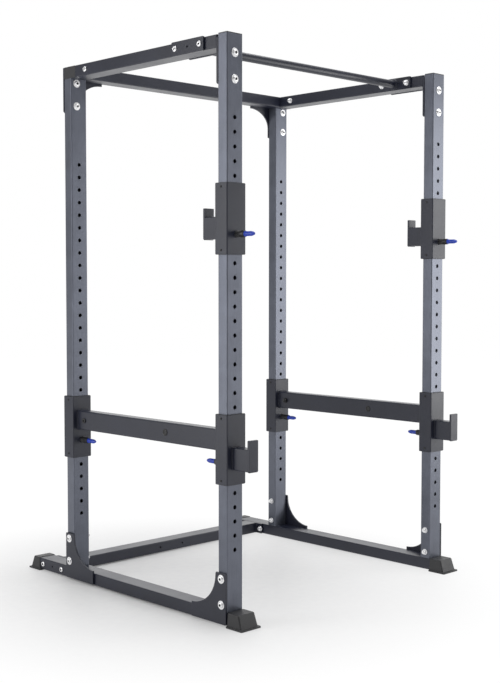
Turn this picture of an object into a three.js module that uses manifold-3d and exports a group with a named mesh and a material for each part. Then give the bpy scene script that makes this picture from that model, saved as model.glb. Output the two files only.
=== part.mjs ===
// Power cage with two bar-hook carriages and two spotter arms.
// Millimetres, +Z up. The open front faces -Y and the left side is -X.
// The origin is on the floor, under the centre of the bounding box.
import * as THREE from "three";
import { mergeVertices } from "three/addons/utils/BufferGeometryUtils.js";
import Module from "manifold-3d";

// Frame tube, used for uprights, rails and cross-members.
const TUBE_WIDE = 75;
const TUBE_DEEP = 47;
const TUBE_WALL = 3;
const TUBE_RADIUS = 5;
const STUB_RADIUS = 2;

// Places of the uprights, between centres.
const SPAN_X = 1170;
const SPAN_Y = 917;

// Adjustment holes, counted from the lowest.
const HOLE_PITCH = 50.8;
const HOLE_RADIUS = 7.5;
const HOLE_SIDES = 6;
const LOWEST_HOLE_Z = 272;
const FRONT_HOLES = 31;
const REAR_HOLES = 29;
const HOOK_PIN_HOLE = 22;
const SPOTTER_PIN_HOLE = 6;

// Heights.
const FRAME_TOP_Z = 2085;
const CAP_THICK = 3;
const RAIL_BOTTOM_Z = 4;

// Plates, bolts and clearances.
const GAP = 0.3;
const PLATE = 8;
const BOLT_RADIUS = 6;
const BOLT_HOLE_RADIUS = 6.6;
const BOLT_HOLE_SIDES = 6;
const BOLT_HEAD_RADIUS = 10.5;
const BOLT_HEAD_TALL = 7;
const BOLT_HEAD_TOP_RADIUS = 6.3;
const BOLT_END_LONG = 3;
const NUT_RADIUS = 10.5;
const NUT_TALL = 9;
const ROUND_SIDES = 12;
const CORNER_STEPS = 1;
const CURVE_STEPS = 4;
const MERGE_DISTANCE = 0.001;
const OVERLAP = 1;

// Base.
const FRONT_FOOT_END = 567;
const REAR_FOOT_END = 751;
const FRONT_FOOT_LONG = 84;
const REAR_FOOT_LONG = 82;
const FOOT_TALL = 53;
const FOOT_FLANGE_WIDE = 98;
const FOOT_FLANGE_TALL = 6;
const FOOT_LOW_WIDE = 88;
const FOOT_TOP_WIDE = 80;
const FOOT_SETBACK = 8;
const FOOT_SLOPE = 18;
const FOOT_INNER_SLOPE = 6;
const FOOT_END_WALL = 20;
const BASE_BOLTS_Z = [77, 170];
const BASE_GUSSET_TOP_Z = 192;
const BASE_GUSSET_NOSE_Z = 62;
const BASE_GUSSET_REACH = 135;
const BASE_GUSSET_SHOULDER = 7;
const BASE_GUSSET_BOTTOM_Z = 7;
const BASE_CROSS_Y = 593;
const BASE_CROSS_HOLE_X = 65;
const BASE_END_PLATE_LONG = 150;
const SMALL_HOLE_RADIUS = 4;
const BAR_PLATE_LONG = 172;
const END_BOLT_OFFSET = 66;

// Top.
const TOP_BOLTS_Z = [1928, 2019];
const REAR_BOLT_OFFSET = 10;
const FLANGE_BOTTOM_Z = 1913;
const FLANGE_TOP_Z = 2080;
const TOP_GUSSET_BOTTOM_Z = 1902;
const TOP_GUSSET_ARC_Z = 1945;
const TOP_GUSSET_NOSE_Z = 2030;
const TOP_GUSSET_REACH = 115;
const PLATE_CORNER = 8;
const STUB_GAP = 1;
const TOP_STUB_LONG = 110;
const TOP_STUB_BOLT = 67;
const END_CAP_THICK = 2;
const PLUG_DEEP = 14;

// Pull-up bar.
const BAR_RADIUS = 16;
const BAR_SIDES = 20;
const BAR_Y = -281;
const BAR_COLLAR_RADIUS = 22;
const BAR_COLLAR_LONG = 9;
const BAR_PLATE_TALL = 51;

// Sliding sleeves.
const SLEEVE_OVER = 8;
const SLEEVE_WALL = 4;
const SLEEVE_ABOVE_PIN = 178;
const SLEEVE_BELOW_PIN = 70;
const LINER_CLEARANCE = 1;
const LINER_LIP = 1.5;
const LINER_WALL = SLEEVE_OVER - SLEEVE_WALL - LINER_CLEARANCE - GAP;
const LINER_RADIUS = TUBE_RADIUS + 1;

// Bar hooks, with heights from the pin axis.
const HOOK_WIDE = 45;
const HOOK_CUP_LONG = 78;
const HOOK_LIP_THICK = 9;
const HOOK_FLOOR_Z = 63;
const HOOK_LIP_TOP_Z = 95;
const HOOK_LIP_BOTTOM_Z = -18;
const HOOK_BODY_BOTTOM_Z = -16;
const HOOK_WALL = 5;
const HOOK_RADIUS = 4;
const HOOK_LIP_RADIUS = 2;

// Spotter arms, with heights from the pin axis.
const ARM_WIDE = 48;
const ARM_TALL = 77;
const ARM_BOTTOM_Z = 45;
const ARM_WALL = 4;
const ARM_RADIUS = 6;
const ARM_FLANGE_THICK = 10;
const ARM_FLANGE_PROUD = 1.5;
const ARM_STUB_LONG = 70;
const ARM_BOLT_FROM_SLEEVE = 47;
const ARM_MIDDLE_HOLE_Y = -128;

// Pull pins, as distances out from the upright's face.
const PIN_RADIUS = 6;
const PIN_NOSE = 0.5;
const HOUSING_BORE_RADIUS = 6.6;
const HOUSING_SPIGOT_RADIUS = 9;
const HOUSING_SPIGOT_START = 1.3;
const HOUSING_RADIUS = 12;
const HOUSING_END = 52;
const HOUSING_CHAMFER = 1;
const GRIP_FLANGE_RADIUS = 10;
const GRIP_FLANGE_END = 56;
const GRIP_RADIUS = 8.75;
const GRIP_TAPER_START = 86;
const GRIP_TIP_RADIUS = 4;
const GRIP_TIP = 99;

const FRONT = -1;
const REAR = 1;
const LEFT = -1;
const RIGHT = 1;
const RAIL_TOP_Z = RAIL_BOTTOM_Z + TUBE_DEEP;
const RAIL_CENTRE_Z = RAIL_BOTTOM_Z + TUBE_DEEP / 2;
const TOP_TUBE_BOTTOM_Z = FRAME_TOP_Z - TUBE_DEEP;
const TOP_TUBE_CENTRE_Z = FRAME_TOP_Z - TUBE_DEEP / 2;
const OUTER_X = SPAN_X / 2 + TUBE_WIDE / 2;
const INNER_X = SPAN_X / 2 - TUBE_WIDE / 2;
const FRAME_FACE_Y = SPAN_Y / 2 + TUBE_DEEP / 2;
const TOP_CROSS_FRONT_Y = FRAME_FACE_Y - TUBE_WIDE;
const TOP_STUB_BOLT_Y = TOP_CROSS_FRONT_Y - TOP_STUB_BOLT;
const SLEEVE_WIDE = TUBE_WIDE + 2 * SLEEVE_OVER;
const SLEEVE_DEEP = TUBE_DEEP + 2 * SLEEVE_OVER;
const SLEEVE_FACE = SLEEVE_DEEP / 2;
const ARM_CENTRE_Z = ARM_BOTTOM_Z + ARM_TALL / 2;
const FRONT_REACH = FRAME_FACE_Y + GRIP_TIP;

const wasm = await Module();
wasm.setup();

const satinBlack = { color: 0x2b2b2e, roughness: 0.42, metalness: 0.5 };
const uprightGrey = { color: 0x6d727b, roughness: 0.35, metalness: 0.8 };
const mouldedBlack = { color: 0x1c1c1e, roughness: 0.6, metalness: 0 };
const linerBlack = { color: 0x111112, roughness: 0.5, metalness: 0 };
const brightZinc = { color: 0xd8dade, roughness: 0.2, metalness: 1 };
const housingBlack = { color: 0x161618, roughness: 0.4, metalness: 0.6 };
const gripBlue = { color: 0x2f49b5, roughness: 0.4, metalness: 0 };

function solidFrom(geometry) {
  const bare = geometry.clone();
  bare.deleteAttribute("normal");
  bare.deleteAttribute("uv");
  const merged = mergeVertices(bare, MERGE_DISTANCE);
  return new wasm.Manifold(
    new wasm.Mesh({
      numProp: 3,
      vertProperties: merged.attributes.position.array,
      triVerts: new Uint32Array(merged.index.array),
    }),
  );
}

function geometryFrom(solid) {
  const mesh = solid.getMesh();
  const points = new Float32Array(mesh.vertProperties);
  const corners = new Uint32Array(mesh.triVerts);
  const shared = new THREE.BufferGeometry();
  shared.setAttribute("position", new THREE.BufferAttribute(points, 3));
  shared.setIndex(new THREE.BufferAttribute(corners, 1));
  const flat = shared.toNonIndexed();
  flat.computeVertexNormals();
  return flat;
}

function join(...geometries) {
  return geometryFrom(geometries.map(solidFrom).reduce((whole, piece) => whole.add(piece)));
}

function cut(geometry, cutters) {
  let left = solidFrom(geometry);
  for (const cutter of cutters) left = left.subtract(solidFrom(cutter));
  return geometryFrom(left);
}

// Extrudes an outline from one station to another. Its two coordinates are
// (y, z) along the x axis, (x, z) along the y axis and (x, y) along the z axis.
function prism(outline, axis, start, end, curveSegments = CORNER_STEPS) {
  const geometry = new THREE.ExtrudeGeometry(outline, {
    depth: end - start,
    bevelEnabled: false,
    curveSegments,
  });
  const x = new THREE.Vector3(1, 0, 0);
  const y = new THREE.Vector3(0, 1, 0);
  const z = new THREE.Vector3(0, 0, 1);
  const place = new THREE.Matrix4();
  if (axis === "x") place.makeBasis(y, z, x).setPosition(start, 0, 0);
  if (axis === "y") place.makeBasis(x, z, y.negate()).setPosition(0, end, 0);
  if (axis === "z") place.setPosition(0, 0, start);
  return geometry.applyMatrix4(place);
}

function roundedRectangle(wide, tall, radius, u = 0, v = 0) {
  const outline = new THREE.Shape();
  const right = u + wide / 2 - radius;
  const left = u - wide / 2 + radius;
  const top = v + tall / 2 - radius;
  const bottom = v - tall / 2 + radius;
  outline.absarc(right, bottom, radius, -Math.PI / 2, 0);
  outline.absarc(right, top, radius, 0, Math.PI / 2);
  outline.absarc(left, top, radius, Math.PI / 2, Math.PI);
  outline.absarc(left, bottom, radius, Math.PI, 1.5 * Math.PI);
  outline.closePath();
  return outline;
}

// The section of a rectangular tube, square inside.
function tubeSection(wide, tall, wall, radius, u = 0, v = 0) {
  const section = roundedRectangle(wide, tall, radius, u, v);
  const halfWide = wide / 2 - wall;
  const halfTall = tall / 2 - wall;
  const inside = new THREE.Path();
  inside.moveTo(u - halfWide, v - halfTall);
  inside.lineTo(u + halfWide, v - halfTall);
  inside.lineTo(u + halfWide, v + halfTall);
  inside.lineTo(u - halfWide, v + halfTall);
  inside.closePath();
  section.holes.push(inside);
  return section;
}

function block(x0, x1, y0, y1, z0, z1) {
  const box = new THREE.BoxGeometry(x1 - x0, y1 - y0, z1 - z0);
  return box.translate((x0 + x1) / 2, (y0 + y1) / 2, (z0 + z1) / 2);
}

// A round bar along one axis, with u and v its place across the axis.
function rod(axis, radius, start, end, u, v, sides = ROUND_SIDES) {
  const bar = new THREE.CylinderGeometry(radius, radius, end - start, sides);
  const middle = (start + end) / 2;
  if (axis === "x") return bar.rotateZ(Math.PI / 2).translate(middle, u, v);
  if (axis === "y") return bar.translate(u, middle, v);
  return bar.rotateX(Math.PI / 2).translate(u, v, middle);
}

// A cutter for a round hole, whose flats are at the hole's radius.
function drill(axis, radius, start, end, u, v, sides = BOLT_HOLE_SIDES) {
  return rod(axis, radius / Math.cos(Math.PI / sides), start, end, u, v, sides);
}

// Turns a profile of (radius, distance) points round an axis along X or Y.
function turned(profile, axis, direction) {
  const points = profile.map(([radius, distance]) => new THREE.Vector2(radius, distance));
  const geometry = new THREE.LatheGeometry(points, ROUND_SIDES);
  if (axis === "x") return geometry.rotateZ((-direction * Math.PI) / 2);
  return direction > 0 ? geometry : geometry.rotateZ(Math.PI);
}

function addMesh(group, name, geometry, finish, x = 0, y = 0, z = 0) {
  const mesh = new THREE.Mesh(geometry, new THREE.MeshStandardMaterial(finish));
  mesh.name = name;
  mesh.position.set(x, y, z);
  group.add(mesh);
  return mesh;
}

function sideName(side) {
  return side === LEFT ? "left" : "right";
}

function endName(end) {
  return end === FRONT ? "front" : "rear";
}

// An upright stands on its base rail. A front one is drilled through both
// walls, because pins enter it from both sides, and a rear one in its front.
function upright(side, end) {
  const isFront = end === FRONT;
  const half = TUBE_DEEP / 2;
  const section = tubeSection(TUBE_WIDE, TUBE_DEEP, TUBE_WALL, TUBE_RADIUS);
  const top = isFront ? FRAME_TOP_Z : TOP_TUBE_BOTTOM_Z - GAP;
  const holeEnd = isFront ? half + OVERLAP : 0;
  const holes = isFront ? FRONT_HOLES : REAR_HOLES;
  const cutters = [];
  for (let i = 0; i < holes; i += 1) {
    const z = LOWEST_HOLE_Z + i * HOLE_PITCH;
    cutters.push(drill("y", HOLE_RADIUS, -half - OVERLAP, holeEnd, 0, z, HOLE_SIDES));
  }
  const offset = isFront ? 0 : side * REAR_BOLT_OFFSET;
  for (const z of TOP_BOLTS_Z) {
    cutters.push(drill("y", BOLT_HOLE_RADIUS, -TUBE_DEEP, TUBE_DEEP, offset, z));
  }
  for (const z of BASE_BOLTS_Z) {
    cutters.push(drill("x", BOLT_HOLE_RADIUS, -TUBE_WIDE, TUBE_WIDE, 0, z));
  }
  return cut(prism(section, "z", RAIL_TOP_Z + GAP, top), cutters);
}

// A moulded plug in an upright's open end: a rim as large as the tube and a
// spigot inside it.
function uprightCap() {
  const inside = 2 * (TUBE_WALL + GAP);
  const rim = roundedRectangle(TUBE_WIDE, TUBE_DEEP, TUBE_RADIUS);
  const spigot = roundedRectangle(TUBE_WIDE - inside, TUBE_DEEP - inside, STUB_RADIUS);
  return join(prism(rim, "z", GAP, CAP_THICK), prism(spigot, "z", -PLUG_DEEP, CAP_THICK - OVERLAP));
}

function baseRail() {
  const start = -FRONT_FOOT_END + FOOT_END_WALL + FOOT_SLOPE / 2;
  const end = REAR_FOOT_END - FOOT_END_WALL - FOOT_SLOPE / 2;
  const section = tubeSection(TUBE_WIDE, TUBE_DEEP, TUBE_WALL, TUBE_RADIUS, 0, RAIL_CENTRE_Z);
  const cutters = [];
  // Two bolts for the cross-member's end plate, with a small hole between.
  for (const offset of [-END_BOLT_OFFSET, 0, END_BOLT_OFFSET]) {
    const radius = offset === 0 ? SMALL_HOLE_RADIUS : BOLT_HOLE_RADIUS;
    cutters.push(drill("x", radius, -TUBE_WIDE, TUBE_WIDE, BASE_CROSS_Y + offset, RAIL_CENTRE_Z));
  }
  return cut(prism(section, "y", start, end), cutters);
}

// A moulded boot over a base rail's end. It is built with its outer end at
// local y 0 and the rail coming in from +Y, then turned for the rear.
function foot(end) {
  const isFront = end === FRONT;
  const long = isFront ? FRONT_FOOT_LONG : REAR_FOOT_LONG;
  const flange = prism(
    roundedRectangle(FOOT_FLANGE_WIDE, long, TUBE_RADIUS, 0, long / 2),
    "z",
    0,
    FOOT_FLANGE_TALL,
  );
  const innerLow = isFront ? long : long - FOOT_SETBACK;
  const innerTop = isFront ? innerLow : innerLow - FOOT_INNER_SLOPE;
  const boot = new THREE.BoxGeometry(FOOT_LOW_WIDE, long, FOOT_TALL);
  boot.translate(0, long / 2, FOOT_TALL / 2);
  const corners = boot.getAttribute("position");
  for (let i = 0; i < corners.count; i += 1) {
    const isTop = corners.getZ(i) > FOOT_TALL / 2;
    const isOuter = corners.getY(i) < long / 2;
    const wide = isTop ? FOOT_TOP_WIDE : FOOT_LOW_WIDE;
    const outerY = isTop ? FOOT_SETBACK + FOOT_SLOPE : FOOT_SETBACK;
    const innerY = isTop ? innerTop : innerLow;
    corners.setX(i, (Math.sign(corners.getX(i)) * wide) / 2);
    corners.setY(i, isOuter ? outerY : innerY);
  }
  const pocket = block(
    -TUBE_WIDE / 2 - GAP,
    TUBE_WIDE / 2 + GAP,
    FOOT_END_WALL + FOOT_SLOPE / 2 - GAP,
    long + OVERLAP,
    RAIL_BOTTOM_Z - GAP,
    RAIL_TOP_Z + GAP,
  );
  const body = cut(join(flange, boot), [pocket]);
  return isFront ? body : body.rotateZ(Math.PI);
}

// A plate on the outer side of an upright's foot and the base rail. Its
// concave edge runs from a shoulder beside the upright down to a low nose.
function baseGusset(side, end) {
  const edge = TUBE_DEEP / 2;
  const shoulder = edge + BASE_GUSSET_SHOULDER;
  const nose = edge + BASE_GUSSET_REACH;
  const inward = -end;
  const isRearward = inward > 0;
  const radiusY = nose - shoulder;
  const radiusZ = BASE_GUSSET_TOP_Z - PLATE_CORNER - BASE_GUSSET_NOSE_Z;
  const arcY = inward * nose;
  const arcZ = BASE_GUSSET_NOSE_Z + radiusZ;
  const arcEnd = isRearward ? Math.PI : 0;
  const outline = new THREE.Shape();
  outline.moveTo(-inward * edge, BASE_GUSSET_BOTTOM_Z);
  outline.lineTo(arcY, BASE_GUSSET_BOTTOM_Z);
  outline.lineTo(arcY, BASE_GUSSET_NOSE_Z);
  outline.absellipse(arcY, arcZ, radiusY, radiusZ, -Math.PI / 2, arcEnd, isRearward);
  outline.lineTo(inward * shoulder, BASE_GUSSET_TOP_Z);
  outline.lineTo(-inward * edge, BASE_GUSSET_TOP_Z);
  outline.closePath();
  const faces = [side * (TUBE_WIDE / 2 + GAP), side * (TUBE_WIDE / 2 + PLATE)];
  const plate = prism(outline, "x", Math.min(...faces), Math.max(...faces), CURVE_STEPS);
  const cutters = BASE_BOLTS_Z.map((z) => {
    return drill("x", BOLT_HOLE_RADIUS, -TUBE_WIDE, TUBE_WIDE, 0, z);
  });
  return cut(plate, cutters);
}

// The only cross-member at floor level, with a bolted plate on each end.
function baseCrossMember() {
  const tubeEnd = INNER_X - GAP - PLATE;
  const reach = tubeEnd + OVERLAP;
  const tube = tubeSection(TUBE_WIDE, TUBE_DEEP, TUBE_WALL, TUBE_RADIUS, 0, RAIL_CENTRE_Z);
  const endPlate = roundedRectangle(BASE_END_PLATE_LONG, TUBE_DEEP, TUBE_RADIUS, 0, RAIL_CENTRE_Z);
  const parts = [prism(tube, "x", -reach, reach)];
  const cutters = [];
  for (const side of [LEFT, RIGHT]) {
    const near = side === RIGHT ? tubeEnd : -INNER_X + GAP;
    const far = near + PLATE;
    parts.push(prism(endPlate, "x", near, far));
    for (const offset of [-END_BOLT_OFFSET, 0, END_BOLT_OFFSET]) {
      const radius = offset === 0 ? SMALL_HOLE_RADIUS : BOLT_HOLE_RADIUS;
      cutters.push(drill("x", radius, near - OVERLAP, far + OVERLAP, offset, RAIL_CENTRE_Z));
    }
    const faceHoleX = side * BASE_CROSS_HOLE_X;
    cutters.push(drill("y", SMALL_HOLE_RADIUS, -TUBE_WIDE, 0, faceHoleX, RAIL_CENTRE_Z));
  }
  return cut(join(...parts), cutters);
}

// A top side rail along Y, welded to the flange plate that bolts to the
// rear face of its front upright.
function topRail() {
  const flangeFront = -FRAME_FACE_Y + TUBE_DEEP + GAP;
  const tubeStart = flangeFront + PLATE - GAP;
  const tubeEnd = TOP_CROSS_FRONT_Y - GAP;
  const section = tubeSection(TUBE_WIDE, TUBE_DEEP, TUBE_WALL, TUBE_RADIUS, 0, TOP_TUBE_CENTRE_Z);
  const tube = prism(section, "y", tubeStart, tubeEnd);
  const flangeTall = FLANGE_TOP_Z - FLANGE_BOTTOM_Z;
  const flangeZ = FLANGE_BOTTOM_Z + flangeTall / 2;
  const flangeOutline = roundedRectangle(TUBE_WIDE, flangeTall, PLATE_CORNER, 0, flangeZ);
  const flangeRear = tubeStart + OVERLAP;
  const flange = prism(flangeOutline, "y", flangeFront, flangeRear);
  const cutters = TOP_BOLTS_Z.map((z) => {
    return drill("y", BOLT_HOLE_RADIUS, flangeFront - OVERLAP, flangeRear + OVERLAP, 0, z);
  });
  const crossBolts = [BAR_Y - END_BOLT_OFFSET, BAR_Y + END_BOLT_OFFSET, TOP_STUB_BOLT_Y];
  for (const y of crossBolts) {
    cutters.push(drill("x", BOLT_HOLE_RADIUS, -TUBE_WIDE, TUBE_WIDE, y, TOP_TUBE_CENTRE_Z));
  }
  return cut(join(tube, flange), cutters);
}

// The rear top cross-member lies on the rear uprights. Two stubs on its front
// face fill the ends of the side rails.
function topCrossMember() {
  const end = OUTER_X - END_CAP_THICK - GAP;
  const centreY = FRAME_FACE_Y - TUBE_WIDE / 2;
  const tube = tubeSection(TUBE_WIDE, TUBE_DEEP, TUBE_WALL, TUBE_RADIUS, centreY, TOP_TUBE_CENTRE_Z);
  const parts = [prism(tube, "x", -end, end)];
  const cutters = [];
  const stubWide = TUBE_WIDE - 2 * (TUBE_WALL + STUB_GAP);
  const stubTall = TUBE_DEEP - 2 * (TUBE_WALL + STUB_GAP);
  const stubStart = TOP_CROSS_FRONT_Y - TOP_STUB_LONG;
  const stubEnd = TOP_CROSS_FRONT_Y + OVERLAP;
  for (const side of [LEFT, RIGHT]) {
    const x = (side * SPAN_X) / 2;
    const stub = tubeSection(stubWide, stubTall, TUBE_WALL, STUB_RADIUS, x, TOP_TUBE_CENTRE_Z);
    parts.push(prism(stub, "y", stubStart, stubEnd));
    const holeEnds = [x - TUBE_WIDE, x + TUBE_WIDE];
    cutters.push(drill("x", BOLT_HOLE_RADIUS, ...holeEnds, TOP_STUB_BOLT_Y, TOP_TUBE_CENTRE_Z));
  }
  return cut(join(...parts), cutters);
}

// A corner plate on the rear faces of the cross-member and an upright.
function topGusset(side) {
  const half = TUBE_WIDE / 2;
  const inward = -side;
  const isRightward = inward > 0;
  const noseX = inward * (half + TOP_GUSSET_REACH);
  const arcTall = TOP_GUSSET_NOSE_Z - TOP_GUSSET_ARC_Z;
  const arcStart = isRightward ? Math.PI : 0;
  const outline = new THREE.Shape();
  outline.moveTo(side * half, FRAME_TOP_Z);
  outline.lineTo(side * half, TOP_GUSSET_BOTTOM_Z + PLATE_CORNER);
  outline.lineTo(side * (half - PLATE_CORNER), TOP_GUSSET_BOTTOM_Z);
  outline.lineTo(inward * half, TOP_GUSSET_BOTTOM_Z);
  outline.lineTo(inward * half, TOP_GUSSET_ARC_Z);
  outline.absellipse(
    noseX,
    TOP_GUSSET_ARC_Z,
    TOP_GUSSET_REACH,
    arcTall,
    arcStart,
    Math.PI / 2,
    isRightward,
  );
  outline.lineTo(noseX, FRAME_TOP_Z);
  outline.closePath();
  const x = side * REAR_BOLT_OFFSET;
  const cutters = TOP_BOLTS_Z.map((z) => {
    return drill("y", BOLT_HOLE_RADIUS, -OVERLAP, PLATE + OVERLAP, x, z);
  });
  return cut(prism(outline, "y", GAP, PLATE, CURVE_STEPS), cutters);
}

// A plate under the pull-up bar's bolts, standing across the x axis.
function barPlate(near, far, hasCentreHole) {
  const outline = roundedRectangle(BAR_PLATE_LONG, BAR_PLATE_TALL, TUBE_RADIUS);
  const start = near - OVERLAP;
  const end = far + OVERLAP;
  const cutters = [-END_BOLT_OFFSET, END_BOLT_OFFSET].map((y) => {
    return drill("x", BOLT_HOLE_RADIUS, start, end, y, 0);
  });
  if (hasCentreHole) cutters.push(drill("x", SMALL_HOLE_RADIUS, start, end, 0, 0));
  return cut(prism(outline, "x", near, far), cutters);
}

// The round bar, its collars and its two inner plates are one weldment.
function pullUpBar() {
  const outer = INNER_X - GAP;
  const inner = outer - PLATE;
  const collar = inner - BAR_COLLAR_LONG;
  const reach = inner + OVERLAP;
  return join(
    rod("x", BAR_RADIUS, -reach, reach, 0, 0, BAR_SIDES),
    rod("x", BAR_COLLAR_RADIUS, collar, reach, 0, 0, BAR_SIDES),
    rod("x", BAR_COLLAR_RADIUS, -reach, -collar, 0, 0, BAR_SIDES),
    barPlate(inner, outer, false),
    barPlate(-outer, -inner, false),
  );
}

// A through-bolt with its nut. The head is outside the cage.
function barBolt(side) {
  const headFace = OUTER_X + PLATE + GAP;
  const headTop = headFace + BOLT_HEAD_TALL;
  const nutFace = INNER_X - PLATE - 2 * GAP;
  const nutEnd = nutFace - NUT_TALL;
  const boltEnd = nutEnd - BOLT_END_LONG;
  const profile = [
    [0, boltEnd],
    [BOLT_RADIUS, boltEnd],
    [BOLT_RADIUS, nutEnd],
    [NUT_RADIUS, nutEnd],
    [NUT_RADIUS, nutFace],
    [BOLT_RADIUS, nutFace],
    [BOLT_RADIUS, headFace],
    [BOLT_HEAD_RADIUS, headFace],
    [BOLT_HEAD_RADIUS, headFace + BOLT_HEAD_TALL / 2],
    [BOLT_HEAD_TOP_RADIUS, headTop],
    [0, headTop],
  ];
  return turned(profile, "x", side);
}

// A cutter for the hole that a pin housing's spigot sits in.
function spigotHole(pinEnd) {
  const start = pinEnd === FRONT ? -SLEEVE_DEEP : 0;
  return drill("y", HOUSING_SPIGOT_RADIUS + GAP, start, start + SLEEVE_DEEP, 0, 0, ROUND_SIDES);
}

// A steel sleeve round the upright. A spotter's sleeve also carries a flanged
// stub for the arm, on the side armEnd. The rear one is drilled for a bolt.
function sleeve(pinEnd, armEnd) {
  const section = tubeSection(SLEEVE_WIDE, SLEEVE_DEEP, SLEEVE_WALL, TUBE_RADIUS);
  const body = prism(section, "z", -SLEEVE_BELOW_PIN, SLEEVE_ABOVE_PIN);
  if (!armEnd) return cut(body, [spigotHole(pinEnd)]);
  const flangeWide = ARM_WIDE + 2 * ARM_FLANGE_PROUD;
  const flangeTall = ARM_TALL + 2 * ARM_FLANGE_PROUD;
  const flange = roundedRectangle(flangeWide, flangeTall, ARM_RADIUS, 0, ARM_CENTRE_Z);
  const flangeEnd = SLEEVE_FACE + ARM_FLANGE_THICK;
  const stubWide = ARM_WIDE - 2 * (ARM_WALL + STUB_GAP);
  const stubTall = ARM_TALL - 2 * (ARM_WALL + STUB_GAP);
  const stub = tubeSection(stubWide, stubTall, ARM_WALL, STUB_RADIUS, 0, ARM_CENTRE_Z);
  const stubEnd = flangeEnd + ARM_STUB_LONG;
  const span = (near, far) => (armEnd === REAR ? [near, far] : [-far, -near]);
  const whole = join(
    body,
    prism(flange, "y", ...span(SLEEVE_FACE - OVERLAP, flangeEnd)),
    prism(stub, "y", ...span(flangeEnd - OVERLAP, stubEnd)),
  );
  const cutters = [spigotHole(pinEnd)];
  if (armEnd === FRONT) {
    const boltY = -SLEEVE_FACE - ARM_BOLT_FROM_SLEEVE;
    cutters.push(drill("x", BOLT_HOLE_RADIUS, -ARM_WIDE, ARM_WIDE, boltY, ARM_CENTRE_Z));
  }
  return cut(whole, cutters);
}

// A plastic liner between the sleeve and the upright.
function liner(pinEnd) {
  const over = 2 * (LINER_WALL + LINER_CLEARANCE);
  const section = tubeSection(TUBE_WIDE + over, TUBE_DEEP + over, LINER_WALL, LINER_RADIUS);
  const bottom = -SLEEVE_BELOW_PIN - LINER_LIP;
  const top = SLEEVE_ABOVE_PIN + LINER_LIP;
  return cut(prism(section, "z", bottom, top), [spigotHole(pinEnd)]);
}

// A hook for the bar: a box bracket with a raised lip at its end. It is built
// towards +Y from the sleeve's face.
function barHook(facing) {
  const start = SLEEVE_FACE + GAP;
  const cupEnd = SLEEVE_FACE + HOOK_CUP_LONG;
  const bodyTall = HOOK_FLOOR_Z - HOOK_BODY_BOTTOM_Z;
  const bodyZ = HOOK_BODY_BOTTOM_Z + bodyTall / 2;
  const body = roundedRectangle(HOOK_WIDE, bodyTall, HOOK_RADIUS, 0, bodyZ);
  const lipTall = HOOK_LIP_TOP_Z - HOOK_LIP_BOTTOM_Z;
  const lipZ = HOOK_LIP_BOTTOM_Z + lipTall / 2;
  const lip = roundedRectangle(HOOK_WIDE, lipTall, HOOK_LIP_RADIUS, 0, lipZ);
  const pocket = block(
    -HOOK_WIDE / 2 + HOOK_WALL,
    HOOK_WIDE / 2 - HOOK_WALL,
    start - OVERLAP,
    cupEnd - HOOK_WALL,
    HOOK_BODY_BOTTOM_Z + HOOK_WALL,
    HOOK_FLOOR_Z - HOOK_WALL,
  );
  const whole = join(
    prism(body, "y", start, cupEnd + OVERLAP),
    prism(lip, "y", cupEnd, cupEnd + HOOK_LIP_THICK),
  );
  const hook = cut(whole, [pocket]);
  return facing === REAR ? hook : hook.rotateZ(Math.PI);
}

// The collar that guides a pull pin, on the sleeve's outer face.
function pinHousing(facing) {
  const face = TUBE_DEEP / 2;
  const shoulder = SLEEVE_OVER + GAP;
  const profile = [
    [HOUSING_BORE_RADIUS, HOUSING_SPIGOT_START],
    [HOUSING_SPIGOT_RADIUS, HOUSING_SPIGOT_START],
    [HOUSING_SPIGOT_RADIUS, shoulder],
    [HOUSING_RADIUS, shoulder],
    [HOUSING_RADIUS, HOUSING_END - HOUSING_CHAMFER],
    [HOUSING_RADIUS - HOUSING_CHAMFER, HOUSING_END],
    [HOUSING_BORE_RADIUS, HOUSING_END],
    [HOUSING_BORE_RADIUS, HOUSING_SPIGOT_START],
  ].map(([radius, distance]) => [radius, face + distance]);
  return turned(profile, "y", facing);
}

// A pull pin: a steel nose and shank with a moulded grip on its outer end.
function pullPin(facing) {
  const face = TUBE_DEEP / 2;
  const gripStart = HOUSING_END + GAP;
  const profile = [
    [0, PIN_NOSE],
    [PIN_RADIUS, PIN_NOSE],
    [PIN_RADIUS, gripStart],
    [GRIP_FLANGE_RADIUS, gripStart],
    [GRIP_FLANGE_RADIUS, GRIP_FLANGE_END],
    [GRIP_RADIUS, GRIP_FLANGE_END],
    [GRIP_RADIUS, GRIP_TAPER_START],
    [GRIP_TIP_RADIUS, GRIP_TIP],
    [0, GRIP_TIP],
  ].map(([radius, distance]) => [radius, face + distance]);
  return turned(profile, "y", facing);
}

// The arm over the two stubs of its sleeves, with a bolt hole at its rear
// end and another along it.
function spotterArm() {
  const end = SPAN_Y / 2 - SLEEVE_FACE - ARM_FLANGE_THICK - GAP;
  const boltY = SPAN_Y / 2 - SLEEVE_FACE - ARM_BOLT_FROM_SLEEVE;
  const section = tubeSection(ARM_WIDE, ARM_TALL, ARM_WALL, ARM_RADIUS, 0, ARM_CENTRE_Z);
  const cutters = [ARM_MIDDLE_HOLE_Y, boltY].map((y) => {
    return drill("x", BOLT_HOLE_RADIUS, -ARM_WIDE, ARM_WIDE, y, ARM_CENTRE_Z);
  });
  return cut(prism(section, "y", -end, end), cutters);
}

function addPinnedSleeve(group, prefix, pinEnd, armEnd, x, y, z) {
  addMesh(group, prefix + "_sleeve", sleeve(pinEnd, armEnd), satinBlack, x, y, z);
  addMesh(group, prefix + "_liner", liner(pinEnd), linerBlack, x, y, z);
  addMesh(group, prefix + "_pin_housing", pinHousing(pinEnd), housingBlack, x, y, z);
  addMesh(group, prefix + "_pull_pin", pullPin(pinEnd), gripBlue, x, y, z);
}

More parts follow.
